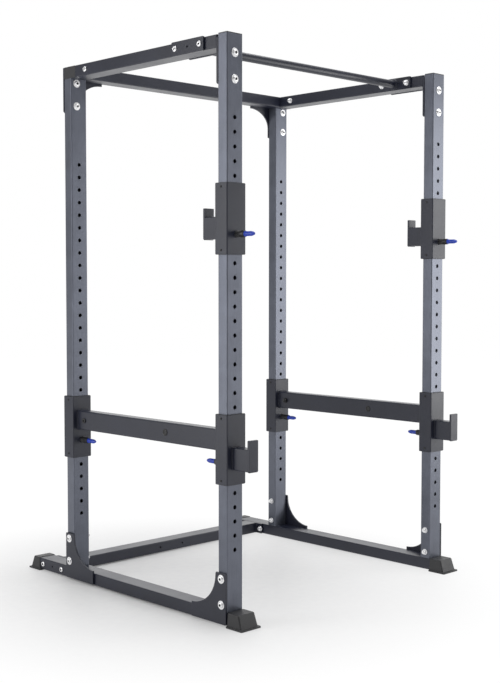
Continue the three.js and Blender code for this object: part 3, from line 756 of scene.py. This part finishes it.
def upright_cap_mesh():
    """A plug with a domed rim over the tube's end and ribs inside it."""
    rim = extrude(rounded(TUBE_WIDE, TUBE_DEEP, TUBE_RADIUS), "z", GAP, 3.0, 1.2, steps=4)
    wide, tall = TUBE_WIDE - 2 * TUBE_WALL - 2.4, TUBE_DEEP - 2 * TUBE_WALL - 2.4
    stem = extrude(rounded(wide, tall, 2.5), "z", -14, 1.0)
    ribs = []
    for z in (-4.0, -8.0, -12.0):
        ribs.append(extrude(rounded(wide + 1.8, tall + 1.8, 2.5), "z", z - 0.7, z + 0.7, 0.3))
    return mesh_of("upright_cap", rim, stem, *ribs)


cap_mesh = upright_cap_mesh()
for side in SIDES:
    for end in ENDS:
        mesh = upright_mesh(side, end)
        add_look(f"{end}_{side}_upright", mesh, UPRIGHT, place=upright_at[side, end])
    place = upright_at[side, "front"] + Vector((0, 0, FRAME_TOP_Z))
    add_look(f"front_{side}_upright_cap", cap_mesh, MOULDED, place=place)


# -------------------------------------------------------------------- base
def base_gusset_mesh(side, end):
    inward = -ENDS[end]
    shoulder = HALF_DEEP + BASE_GUSSET_SHOULDER
    nose = HALF_DEEP + BASE_GUSSET_REACH
    tall = BASE_GUSSET_TOP_Z - PLATE_CORNER - BASE_GUSSET_NOSE_Z
    curve = arc(nose, BASE_GUSSET_NOSE_Z + tall, nose - shoulder, 270, 180, 20, tall)
    outline = [
        (nose - 2, BASE_GUSSET_BOTTOM_Z),
        (nose, BASE_GUSSET_BOTTOM_Z + 2),
        *curve,
        (shoulder - 1.5, BASE_GUSSET_TOP_Z - 1.5),
        (shoulder - 4, BASE_GUSSET_TOP_Z),
        (3 - HALF_DEEP, BASE_GUSSET_TOP_Z),
        (-HALF_DEEP, BASE_GUSSET_TOP_Z - 3),
        (-HALF_DEEP, BASE_GUSSET_BOTTOM_Z + 3),
        (3 - HALF_DEEP, BASE_GUSSET_BOTTOM_Z),
    ]
    outline = [(inward * y, z) for y, z in outline]
    holes = [circle(BOLT_HOLE_RADIUS, 0, z) for z in BASE_BOLTS_Z]
    faces = [SIDES[side] * (HALF_WIDE + d) for d in (GAP, PLATE)]
    return mesh_of(f"{end}_{side}_gusset", extrude(outline, "x", *faces, 0.8, holes))


def foot_mesh(end):
    """A moulded boot: rounded base flange, sloping walls, a pocket for the
    rail. Its outer end is at local y 0 and the rail comes in from +y."""
    is_front = end == "front"
    long = FOOT_LONG[end]
    inner = long if is_front else long - FOOT_SETBACK
    lean = 0.0 if is_front else FOOT_INNER_SLOPE

    def ring(z, grow, flange=False):
        t = z / FOOT_TALL
        wide = FOOT_LOW_WIDE + (FOOT_TOP_WIDE - FOOT_LOW_WIDE) * t
        y0, y1 = FOOT_SETBACK + FOOT_SLOPE * t, inner - lean * t
        if flange:
            wide, y0, y1 = FOOT_FLANGE_WIDE, 0.0, long
        y0, y1 = y0 - grow, y1 + grow
        outline = rounded(wide + 2 * grow, y1 - y0, FOOT_CORNER + grow, 0, (y0 + y1) / 2)
        return [(x, y, z) for x, y in outline]

    flange = ((0.0, -0.8), (0.4, -0.2), (1.0, 0.0), (4.8, 0.0), (5.7, -0.4), (6.0, -1.2))
    fillet = (-0.1, -0.4, -0.5) if is_front else (2.0, 0.9, 0.2)
    top = ((3.5, 0.0), (1.4, -0.7), (0.3, -1.9), (0.0, -3.2))
    rings = [ring(z, grow, True) for z, grow in flange]
    rings += [ring(z, grow) for z, grow in zip((6.0, 6.6, 8.0), fillet)]
    rings += [ring(FOOT_TALL - down, grow) for down, grow in top]
    boot = mesh_of(f"{end}_foot", loft(rings))
    pocket = extrude(
        rounded(TUBE_WIDE + 2 * GAP, TUBE_DEEP + 2 * GAP, TUBE_RADIUS, 0, RAIL_CENTRE_Z),
        "y",
        FOOT_POCKET,
        long + 5,
        0.1,
    )
    return cut(boot, pocket)


def base_rail_mesh(side):
    low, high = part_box(f"{side}_base_rail")
    whole = mesh_of(f"{side}_base_rail", tube("y", low.y / MM, high.y / MM, 0, RAIL_CENTRE_Z))
    cutters = []
    for offset in (-END_BOLT_OFFSET, 0, END_BOLT_OFFSET):
        radius = BOLT_HOLE_RADIUS if offset else SMALL_HOLE_RADIUS
        y = BASE_CROSS_Y + offset
        cutters.append(drill("x", radius, -CUTTER_HALF, CUTTER_HALF, y, RAIL_CENTRE_Z))
    return cut(whole, *cutters)


def base_cross_mesh():
    tube_end = INNER_X - GAP - PLATE
    body = mesh_of(
        "rear_base_cross_member", tube("x", -tube_end - 1, tube_end + 1, 0, RAIL_CENTRE_Z)
    )
    cutters = []
    for sign in (-1, 1):
        x = sign * BASE_CROSS_HOLE_X
        cutters.append(
            drill("y", SMALL_HOLE_RADIUS, -HALF_WIDE - 1, 0, x, RAIL_CENTRE_Z, (True, False))
        )
    body = cut(body, *cutters)
    holes = end_bolt_holes(RAIL_CENTRE_Z)
    plate = rounded(BASE_END_PLATE_LONG, TUBE_DEEP, TUBE_RADIUS, 0, RAIL_CENTRE_Z)
    bead = rounded(TUBE_WIDE + 2, TUBE_DEEP - 3, TUBE_RADIUS, 0, RAIL_CENTRE_Z, 3)
    ends = []
    for sign in (-1, 1):
        ends.append(extrude(plate, "x", sign * tube_end, sign * (tube_end + PLATE), 0.8, holes))
        ends.append(weld(frame_path("x", bead, sign * (tube_end - 1))))
    return joined("rear_base_cross_member", body, mesh_of("ends", *ends))


foot_meshes = {end: foot_mesh(end) for end in ENDS}
foot_meshes["rear"].transform(Matrix.Rotation(math.pi, 4, "Z"))
for side, sign in SIDES.items():
    x = sign * SPAN_X / 2
    for end in ENDS:
        place = upright_at[side, end]
        add_look(f"{end}_{side}_base_gusset", base_gusset_mesh(side, end), BLACK, place=place)
        node = f"{end}_{side}_foot"
        low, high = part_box(node)
        y = (low.y if end == "front" else high.y) / MM
        add_look(node, foot_meshes[end], MOULDED, place=(x, y, 0))
        for i, z in enumerate(BASE_BOLTS_Z):
            head = place + Vector((sign * (HALF_WIDE + PLATE), 0, z))
            name = f"{end}_{side}_base_bolt_{i + 1}"
            add_bolt(name, "x", sign, PLATE + TUBE_WIDE, head, True)
    add_look(f"{side}_base_rail", base_rail_mesh(side), BLACK, place=(x, 0, 0))
    for i, offset in enumerate(END_BOLTS):
        head = (sign * OUTER_X, BASE_CROSS_Y + offset, RAIL_CENTRE_Z)
        add_bolt(f"{side}_base_cross_bolt_{i + 1}", "x", sign, TUBE_WIDE + GAP + PLATE, head)
add_look("rear_base_cross_member", base_cross_mesh(), BLACK, place=(0, BASE_CROSS_Y, 0))


# --------------------------------------------------------------------- top
def top_rail_mesh(side):
    flange_front = FRONT_Y + HALF_DEEP + GAP
    start = flange_front + PLATE - GAP
    end = CROSS_FRONT_Y - GAP
    body = mesh_of(f"{side}_top_rail", tube("y", start, end, 0, TOP_CENTRE_Z))
    bolts_y = (BAR_Y - END_BOLT_OFFSET, BAR_Y + END_BOLT_OFFSET, CROSS_FRONT_Y - TOP_STUB_BOLT)
    cutters = []
    for y in bolts_y:
        cutters.append(drill("x", BOLT_HOLE_RADIUS, -CUTTER_HALF, CUTTER_HALF, y, TOP_CENTRE_Z))
    body = cut(body, *cutters)
    tall = FLANGE_Z[1] - FLANGE_Z[0]
    outline = rounded(TUBE_WIDE, tall, PLATE_CORNER, 0, FLANGE_Z[0] + tall / 2)
    holes = [circle(BOLT_HOLE_RADIUS, 0, z) for z in TOP_BOLTS_Z]
    plate = extrude(outline, "y", flange_front, start + 0.5, 0.8, holes)
    left, right = -HALF_WIDE + 1.5, HALF_WIDE - 1.5
    bottom = FRAME_TOP_Z - TUBE_DEEP - GAP
    bead = [
        (left, start + 1, FLANGE_Z[1] - 2),
        (left, start + 1, bottom),
        (right, start + 1, bottom),
        (right, start + 1, FLANGE_Z[1] - 2),
    ]
    return joined(f"{side}_top_rail", body, mesh_of("flange", plate, weld(bead, closed=False)))


def top_cross_mesh():
    """The rear cross tube, with a stub for each side rail."""
    y = CROSS_FRONT_Y + HALF_WIDE
    shells = [tube("x", -CROSS_END_X, CROSS_END_X, y, TOP_CENTRE_Z)]
    size = stub_size(TUBE_WIDE, TUBE_DEEP, TUBE_WALL)
    ends = (CROSS_FRONT_Y - TOP_STUB_LONG, CROSS_FRONT_Y + 1)
    for sign in SIDES.values():
        x = sign * SPAN_X / 2
        shells.append(tube("y", *ends, x, TOP_CENTRE_Z, size, TUBE_WALL, STUB_RADIUS))
    return mesh_of("rear_top_cross_member", *shells)


def top_gusset_mesh(side):
    """Drawn for the right side, with the upright's middle at x 0."""
    sign = SIDES[side]
    nose = HALF_WIDE + TOP_GUSSET_REACH
    tall = TOP_GUSSET_NOSE_Z - TOP_GUSSET_ARC_Z
    curve = arc(-nose, TOP_GUSSET_ARC_Z, TOP_GUSSET_REACH, 0, 90, 20, tall)
    outline = [
        (HALF_WIDE, FRAME_TOP_Z - 2),
        (HALF_WIDE, TOP_GUSSET_BOTTOM_Z + PLATE_CORNER),
        (HALF_WIDE - PLATE_CORNER, TOP_GUSSET_BOTTOM_Z),
        (-HALF_WIDE + 3, TOP_GUSSET_BOTTOM_Z),
        (-HALF_WIDE, TOP_GUSSET_BOTTOM_Z + 3),
        *curve,
        (-nose, FRAME_TOP_Z - 2),
        (-nose + 2, FRAME_TOP_Z),
        (HALF_WIDE - 2, FRAME_TOP_Z),
    ]
    outline = [(sign * x, z) for x, z in outline]
    holes = [circle(BOLT_HOLE_RADIUS, sign * REAR_BOLT_OFFSET, z) for z in TOP_BOLTS_Z]
    return mesh_of(f"{side}_top_gusset", extrude(outline, "y", GAP, PLATE, 0.8, holes))


def bar_plate(near, far, has_centre_hole):
    holes = end_bolt_holes()
    if has_centre_hole:
        holes.append(circle(SMALL_HOLE_RADIUS, 0, 0, 24))
    outline = rounded(BAR_PLATE_LONG, BAR_PLATE_TALL, TUBE_RADIUS)
    return extrude(outline, "x", near, far, 0.8, holes)


def pull_up_bar_mesh():
    outer = INNER_X - GAP
    inner = outer - PLATE
    collar = inner - BAR_COLLAR_LONG
    end = inner + 2
    profile = [(0, -end), (BAR_RADIUS, -end), (BAR_RADIUS, end), (0, end)]
    shells = [turned(profile, "x", sides=64)]
    for sign in (-1, 1):
        shells.append(bar_plate(sign * inner, sign * outer, False))
        ring = [
            (BAR_RADIUS - 1, collar),
            (BAR_COLLAR_RADIUS - 1.5, collar),
            (BAR_COLLAR_RADIUS, collar + 1.5),
            (BAR_COLLAR_RADIUS, inner + 0.5),
            (BAR_RADIUS - 1, inner + 0.5),
        ]
        shells.append(turned(ring, "x", direction=sign, sides=64))
        bead = circle(BAR_COLLAR_RADIUS + 0.6, sides=32)
        shells.append(weld(frame_path("x", bead, sign * (inner - 0.6)), 1.9))
        bead = circle(BAR_RADIUS + 0.6, sides=24)
        shells.append(weld(frame_path("x", bead, sign * (collar - 0.4)), 1.6))
    return mesh_of("pull_up_bar", *shells)


def end_cap_mesh(sign):
    """A thin plug in the open end of the rear top cross-member."""
    rim = rounded(TUBE_WIDE, TUBE_DEEP, TUBE_RADIUS)
    stem = rounded(TUBE_WIDE - 7.0, TUBE_DEEP - 7.0, 2.0)
    shells = [extrude(rim, "x", sign * 0.2, sign * 2.2, 0.8, steps=3)]
    shells.append(extrude(stem, "x", -sign * 14.0, sign * 1.0))
    return mesh_of("end_cap", *shells)


for side, sign in SIDES.items():
    x = sign * SPAN_X / 2
    add_look(f"{side}_top_rail", top_rail_mesh(side), BLACK, place=(x, 0, 0))
    place = (x, REAR_Y + HALF_DEEP, 0)
    add_look(f"{side}_top_gusset", top_gusset_mesh(side), BLACK, place=place)
    node = f"{side}_bar_backing_plate"
    plate = mesh_of(node, bar_plate(sign * (OUTER_X + GAP), sign * (OUTER_X + PLATE), True))
    add_look(node, plate, BLACK, place=(0, BAR_Y, TOP_CENTRE_Z))
    place = (sign * CROSS_END_X, CROSS_FRONT_Y + HALF_WIDE, TOP_CENTRE_Z)
    add_piece(f"{side}_cross_member_end_cap", end_cap_mesh(sign), MOULDED, "frame", None, place)
    for end, way in ENDS.items():
        node = f"{side}_bar_bolt_{end}"
        head = (sign * (OUTER_X + PLATE), BAR_Y + way * END_BOLT_OFFSET, TOP_CENTRE_Z)
        add_bolt(node + "_look", "x", sign, TUBE_WIDE + 2 * PLATE + GAP, head, node=node)
        offset = sign * REAR_BOLT_OFFSET if end == "rear" else 0.0
        for i, z in enumerate(TOP_BOLTS_Z):
            head = upright_at[side, end] + Vector((offset, -HALF_DEEP, z))
            name = f"{end}_{side}_top_bolt_{i + 1}"
            add_bolt(name, "y", -1, TUBE_DEEP + GAP + PLATE, head, True)
    head = (sign * OUTER_X, CROSS_FRONT_Y - TOP_STUB_BOLT, TOP_CENTRE_Z)
    add_bolt(f"{side}_top_rail_bolt", "x", sign, TUBE_WIDE, head)
add_look("rear_top_cross_member", top_cross_mesh(), BLACK)
add_look("pull_up_bar", pull_up_bar_mesh(), BLACK, place=(0, BAR_Y, TOP_CENTRE_Z))


# ---------------------------------------------------------------- carriages
def pin_hole(pin_way):
    """A cutter for the housing's hole, from the middle out past a sleeve."""
    return drill("y", HOUSING_HOLE_RADIUS, *sorted((0, pin_way * CUTTER_HALF)))


def sleeve_mesh(pin_way, arm_way, name):
    """A sleeve with the housing's hole and, for an arm, a flanged stub."""
    size = (SLEEVE_WIDE, SLEEVE_DEEP)
    wall = tube("z", SLEEVE_BOTTOM, SLEEVE_TOP, size=size, wall=SLEEVE_WALL)
    body = cut(mesh_of(name, wall), pin_hole(pin_way))
    shells = [weld(frame_path("y", circle(12.4, sides=20), pin_way * (SLEEVE_FACE + 0.4)), 1.5)]
    if arm_way:
        flange_end = SLEEVE_FACE + ARM_FLANGE_THICK
        wide, tall = ARM_WIDE + 2 * ARM_FLANGE_PROUD, ARM_TALL + 2 * ARM_FLANGE_PROUD
        flange = (wide, tall, ARM_RADIUS + ARM_FLANGE_PROUD, 0, ARM_CENTRE_Z)
        ends = (arm_way * (SLEEVE_FACE - 0.5), arm_way * flange_end)
        shells.append(extrude(rounded(*flange), "y", *ends, 0.9, steps=3))
        ends = (arm_way * (flange_end - 1), arm_way * (flange_end + ARM_STUB_LONG))
        size = stub_size(ARM_WIDE, ARM_TALL, ARM_WALL)
        shells.append(tube("y", *ends, 0, ARM_CENTRE_Z, size, ARM_WALL, STUB_RADIUS))
        bead = frame_path("y", rounded(*flange, 3), arm_way * (SLEEVE_FACE + 0.4))
        shells.append(weld(bead, 1.8))
    return joined(name, body, mesh_of("fittings", *shells))


def liner_mesh(pin_way, name):
    """The liner's thin wall, with a rim over each end of the sleeve."""
    ends = (SLEEVE_BOTTOM - 0.5, SLEEVE_TOP + 0.5)
    size = (TUBE_WIDE + LINER_OVER, TUBE_DEEP + LINER_OVER)
    wall = tube("z", *ends, size=size, wall=LINER_WALL, radius=LINER_RADIUS)
    body = cut(mesh_of(name, wall), pin_hole(pin_way))
    outer = rounded(SLEEVE_WIDE - 2, SLEEVE_DEEP - 2, 4.5)
    inner = rounded(TUBE_WIDE + 2, TUBE_DEEP + 2, LINER_RADIUS, steps=5)
    rims = []
    for end, way in ((SLEEVE_TOP, 1), (SLEEVE_BOTTOM, -1)):
        rims.append(extrude(outer, "z", end + way * 0.2, end + way * 1.5, 0.35, [inner]))
    return joined(name, body, mesh_of("rims", *rims))


def housing_mesh(way):
    """A turned collar: spigot, ribbed barrel and a plain front."""
    profile = [
        (6.6, 1.3),
        (9.0, 1.3),
        (9.0, 8.3),
        (11.2, 8.3),
        (12.0, 9.2),
        (12.0, 14.0),
        (11.2, 14.6),
    ]
    for i in range(9):
        w = 15.2 + i * 1.8
        profile += [(11.2, w), (11.7, w + 0.6), (11.7, w + 1.0), (11.2, w + 1.6)]
    profile += [
        (11.2, 33.0),
        (12.0, 33.8),
        (12.0, 50.6),
        (11.0, 51.7),
        (8.0, 52.0),
        (6.6, 51.6),
    ]
    shell = turned([(r, HALF_DEEP + d) for r, d in profile], "y", direction=way, sides=48)
    return mesh_of("pin_housing", shell)


def shank_mesh(way):
    profile = [(0, 0.5), (4.8, 0.5), (6.0, 1.7), (6.0, 54.0), (0, 54.0)]
    shell = turned([(r, HALF_DEEP + d) for r, d in profile], "y", direction=way, sides=40)
    return mesh_of("pin_shank", shell)


def grip_mesh(way):
    """A moulded grip: a flange, a waist, five low rings and a blunt tip."""
    profile = [(0, 52.4), (9.4, 52.4), (10.0, 53.0), (10.0, 55.2), (9.4, 56.0), (8.3, 56.8)]
    for i in range(5):
        w = 58.2 + i * 5.4
        profile += [(8.2, w), (8.6, w + 0.8), (8.75, w + 2.3), (8.6, w + 3.8), (8.2, w + 4.6)]
    profile += [(8.2, 86.0), (7.7, 88.6), (6.9, 91.4), (5.9, 94.2), (5.0, 96.6)]
    profile += [(4.1, 98.0), (2.6, 98.8), (1.2, 99.0), (0, 99.0)]
    shell = turned([(r, HALF_DEEP + d) for r, d in profile], "y", direction=way, sides=40)
    return mesh_of("pin_grip", shell)


def hook_mesh(way, name):
    """A bracket whose floor carries the bar, with a plate lip at its end."""
    start = SLEEVE_FACE + GAP
    cup_end = SLEEVE_FACE + HOOK_CUP_LONG
    tall = HOOK_FLOOR_Z - HOOK_BODY_BOTTOM_Z
    body = rounded(HOOK_WIDE, tall, 3.5, 0, HOOK_BODY_BOTTOM_Z + tall / 2)
    low, high = HOOK_LIP_Z
    half = HOOK_WIDE / 2
    lip = (
        [(half - 4, low), (half, low + 4)]
        + arc(half - 3, high - 3, 3, 0, 90, 5)
        + arc(-half + 3, high - 3, 3, 90, 180, 5)
        + [(-half, low + 4), (-half + 4, low)]
    )
    bead = rounded(HOOK_WIDE - 1, tall - 1, 3.5, 0, HOOK_BODY_BOTTOM_Z + tall / 2, 3)
    shells = [
        extrude(body, "y", way * start, way * (cup_end + 0.5), 0.5),
        extrude(lip, "y", way * cup_end, way * (cup_end + HOOK_LIP_THICK), 1.0, steps=3),
        weld(frame_path("y", bead, way * (start + 1.0)), 2.0),
        weld(
            [
                (-half + 2, way * (cup_end - 0.6), HOOK_FLOOR_Z - 0.4),
                (half - 2, way * (cup_end - 0.6), HOOK_FLOOR_Z - 0.4),
            ],
            1.8,
            closed=False,
        ),
    ]
    return mesh_of(name, *shells)


def screw_mesh(sign):
    """A small socket screw set in the sleeve's side face."""
    profile = [
        (0, 0.2),
        (2.4, 0.2, 1.9),
        (2.4, 1.7, 1.9),
        (3.2, 1.9),
        (4.2, 1.4),
        (4.5, 0.6),
        (4.5, -4.0),
        (0, -4.0),
    ]
    return mesh_of("liner_screw", turned(profile, "x", direction=sign, sides=36))


def plug_mesh(sign):
    """A moulded plug with a dished head in a hole of the arm."""
    profile = [
        (0, 0.5),
        (6.5, 0.5),
        (8.5, 2.4),
        (10.5, 2.9),
        (12.6, 1.6),
        (13.0, 0.5),
        (12.6, 0.05),
        (6.2, 0.05),
        (6.2, -3.0),
        (6.7, -4.6),
        (5.6, -8.0),
        (0, -8.0),
    ]
    return mesh_of("arm_plug", turned(profile, "x", direction=sign, sides=36))


screw_meshes = {sign: screw_mesh(sign) for sign in (-1, 1)}
plug_meshes = {sign: plug_mesh(sign) for sign in (-1, 1)}
housing_meshes = {way: housing_mesh(way) for way in (-1, 1)}
shank_meshes = {way: shank_mesh(way) for way in (-1, 1)}
grip_meshes = {way: grip_mesh(way) for way in (-1, 1)}
liner_meshes = {way: liner_mesh(way, f"liner_{way}") for way in (-1, 1)}
sleeve_meshes = {}


def add_carriage(prefix, body, pin_body, pin_way, arm_way, place):
    """A sleeve on an upright with its liner, screws, housing and pull pin."""
    key = (pin_way, arm_way)
    if key not in sleeve_meshes:
        sleeve_meshes[key] = sleeve_mesh(pin_way, arm_way, prefix + "_sleeve")
    add_look(prefix + "_sleeve", sleeve_meshes[key], BLACK, body, place)
    add_look(prefix + "_liner", liner_meshes[pin_way], LINER, body, place)
    add_look(prefix + "_pin_housing", housing_meshes[pin_way], HOUSING, body, place)
    node = prefix + "_pull_pin"
    add_piece(node + "_grip", grip_meshes[pin_way], GRIP, pin_body, node, place)
    add_piece(node + "_shank", shank_meshes[pin_way], PIN_STEEL, pin_body, None, place)
    for sign in (-1, 1):
        for word, z in (("upper", SLEEVE_TOP - 13), ("lower", SLEEVE_BOTTOM + 14)):
            where = place + Vector((sign * SLEEVE_WIDE / 2, 0, z))
            side_word = "outer" if sign * place.x > 0 else "inner"
            name = f"{prefix}_{word}_{side_word}_screw"
            add_piece(name, screw_meshes[sign], HOUSING, body, None, where)


def arm_mesh(name):
    end = (REAR_Y - FRONT_Y) / 2 - SLEEVE_FACE - ARM_FLANGE_THICK - GAP
    shell = tube("y", -end, end, 0, ARM_CENTRE_Z, (ARM_WIDE, ARM_TALL), ARM_WALL, ARM_RADIUS)
    far = ARM_WIDE / 2 + 1
    cutters = []
    for y, flared in ((ARM_MIDDLE_HOLE_Y, True), (ARM_BOLT_Y, False)):
        chamfers = (flared, flared)
        cutters.append(drill("x", BOLT_HOLE_RADIUS, -far, far, y, ARM_CENTRE_Z, chamfers))
    return cut(mesh_of(name, shell), *cutters)


hook_meshes = {way: hook_mesh(way, f"hook_{way}") for way in (-1, 1)}
arm_shared = arm_mesh("spotter_arm")
hook_pin_z = middle("left_hook_pull_pin").z
spotter_pin_z = middle("left_spotter_front_pull_pin").z
middle_y = (FRONT_Y + REAR_Y) / 2
for side, sign in SIDES.items():
    x = sign * SPAN_X / 2
    body = f"{side}_hook_carriage"
    place = Vector((x, FRONT_Y, hook_pin_z))
    add_carriage(f"{side}_hook", body, f"{side}_hook_pin", -1, 0, place)
    add_look(f"{side}_hook_bracket", hook_meshes[1], BLACK, body, place)
    body = f"{side}_spotter"
    front = Vector((x, FRONT_Y, spotter_pin_z))
    rear = Vector((x, REAR_Y, spotter_pin_z))
    add_carriage(f"{side}_spotter_front", body, f"{side}_spotter_front_pin", 1, 1, front)
    add_carriage(f"{side}_spotter_rear", body, f"{side}_spotter_rear_pin", -1, -1, rear)
    add_look(f"{side}_spotter_hook", hook_meshes[-1], BLACK, body, front)
    place = Vector((x, middle_y, spotter_pin_z))
    add_look(f"{side}_spotter_arm", arm_shared, BLACK, body, place)
    head = place + Vector((sign * ARM_WIDE / 2, ARM_BOLT_Y, ARM_CENTRE_Z))
    add_bolt(f"{side}_arm_bolt", "x", sign, ARM_WIDE, head, False, HOUSING, body)
    for way, word in ((-1, "left"), (1, "right")):
        where = place + Vector((way * ARM_WIDE / 2, ARM_MIDDLE_HOLE_Y, ARM_CENTRE_Z))
        add_piece(f"{side}_arm_{word}_plug", plug_meshes[way], LINER, body, None, where)


# ------------------------------------------------------- floor, light, view
FLOOR_RADIUS = 14.0
FLOOR_TOP_Z = -0.0005
# The floor's middle, where its painted shadow is darkest, sits left of the cage's middle.
FLOOR_SHADOW_CENTRE = (-0.3, 0.05, 0)
TO_CAMERA = (-0.70, -0.71, 0.0)
ROOM_LIGHT = 0.50
ROOM_BEHIND_CAMERA = 0.2
BACKDROP_LIGHT = 1.0
SENSOR_WIDE_MM = 36.0
LENS_MM = 61.91
YAW, PITCH, ROLL = math.radians(44.1575), math.radians(2.9849), math.radians(0.03)
CAMERA_PLACE = Vector((-3.4230, middle_y * MM - 3.4808, 1.2283))

floor_mesh = bpy.data.meshes.new("floor")
rim = [(*point, FLOOR_TOP_Z) for point in circle(FLOOR_RADIUS, sides=64)]
floor_mesh.from_pydata(rim, [], [tuple(range(len(rim)))])
floor_mesh.materials.append(floor_finish())
floor = bpy.data.objects.new("floor", floor_mesh)
bpy.context.scene.collection.objects.link(floor)
floor.location = FLOOR_SHADOW_CENTRE
floor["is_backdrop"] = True


def studio_world():
    """White to the camera. The object sees a dimmer grey, with an unlit
    room behind the camera and a lit backdrop behind the cage."""
    world = bpy.data.worlds.new("studio")
    world.use_nodes = True
    tree = world.node_tree
    background = tree.nodes["Background"]
    rays = tree.nodes.new("ShaderNodeLightPath")
    towards = tree.nodes.new("ShaderNodeVectorMath")
    towards.operation = "DOT_PRODUCT"
    towards.inputs[1].default_value = TO_CAMERA
    directions = tree.nodes.new("ShaderNodeTexCoord")
    tree.links.new(directions.outputs["Generated"], towards.inputs[0])
    facing = towards.outputs["Value"]
    room = spread(tree, facing, ROOM_LIGHT, ROOM_BEHIND_CAMERA, 0.72, 0.97, True)
    backdrop = spread(tree, facing, BACKDROP_LIGHT, 0.0, -0.90, -0.55, True)
    lit = tree.nodes.new("ShaderNodeMath")
    lit.operation = "ADD"
    tree.links.new(room, lit.inputs[0])
    tree.links.new(backdrop, lit.inputs[1])
    strength = tree.nodes.new("ShaderNodeMix")
    strength.data_type = "FLOAT"
    strength.inputs["B"].default_value = 1.0
    tree.links.new(rays.outputs["Is Camera Ray"], strength.inputs["Factor"])
    tree.links.new(lit.outputs["Value"], strength.inputs["A"])
    tree.links.new(strength.outputs["Result"], background.inputs["Strength"])
    background.inputs["Color"].default_value = (1.0, 1.0, 1.0, 1)
    return world


bpy.context.scene.world = studio_world()


def softbox(name, place, aim, size, power):
    data = bpy.data.lights.new(name, "AREA")
    data.shape = "RECTANGLE"
    data.size, data.size_y = size
    data.energy = power
    light = bpy.data.objects.new(name, data)
    light.location = place
    direction = Vector(aim) - Vector(place)
    light.rotation_mode = "QUATERNION"
    light.rotation_quaternion = direction.to_track_quat("-Z", "Y")
    light.visible_camera = False
    bpy.context.scene.collection.objects.link(light)


softbox("overhead", (0.3, -0.2, 4.6), (0, 0, 0.6), (3.0, 3.0), 105)
softbox("right_front", (2.7, -2.3, 1.3), (0.5, 0.1, 1.1), (1.6, 2.2), 40)
softbox("left", (-2.6, 0.75, 1.5), (-0.6, -0.3, 1.1), (1.0, 2.4), 26)

camera_data = bpy.data.cameras.new("camera")
camera_data.sensor_width = SENSOR_WIDE_MM
camera_data.lens = LENS_MM
camera = bpy.data.objects.new("camera", camera_data)
forward = Vector(
    (math.sin(YAW) * math.cos(PITCH), math.cos(YAW) * math.cos(PITCH), -math.sin(PITCH))
)
turn = forward.to_track_quat("-Z", "Y").to_matrix().to_4x4()
camera.matrix_world = (
    Matrix.Translation(CAMERA_PLACE) @ turn @ Matrix.Rotation(ROLL, 4, "Z")
)
bpy.context.scene.collection.objects.link(camera)
bpy.context.scene.camera = camera
bpy.context.scene.view_settings.view_transform = "Standard"

low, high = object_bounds()
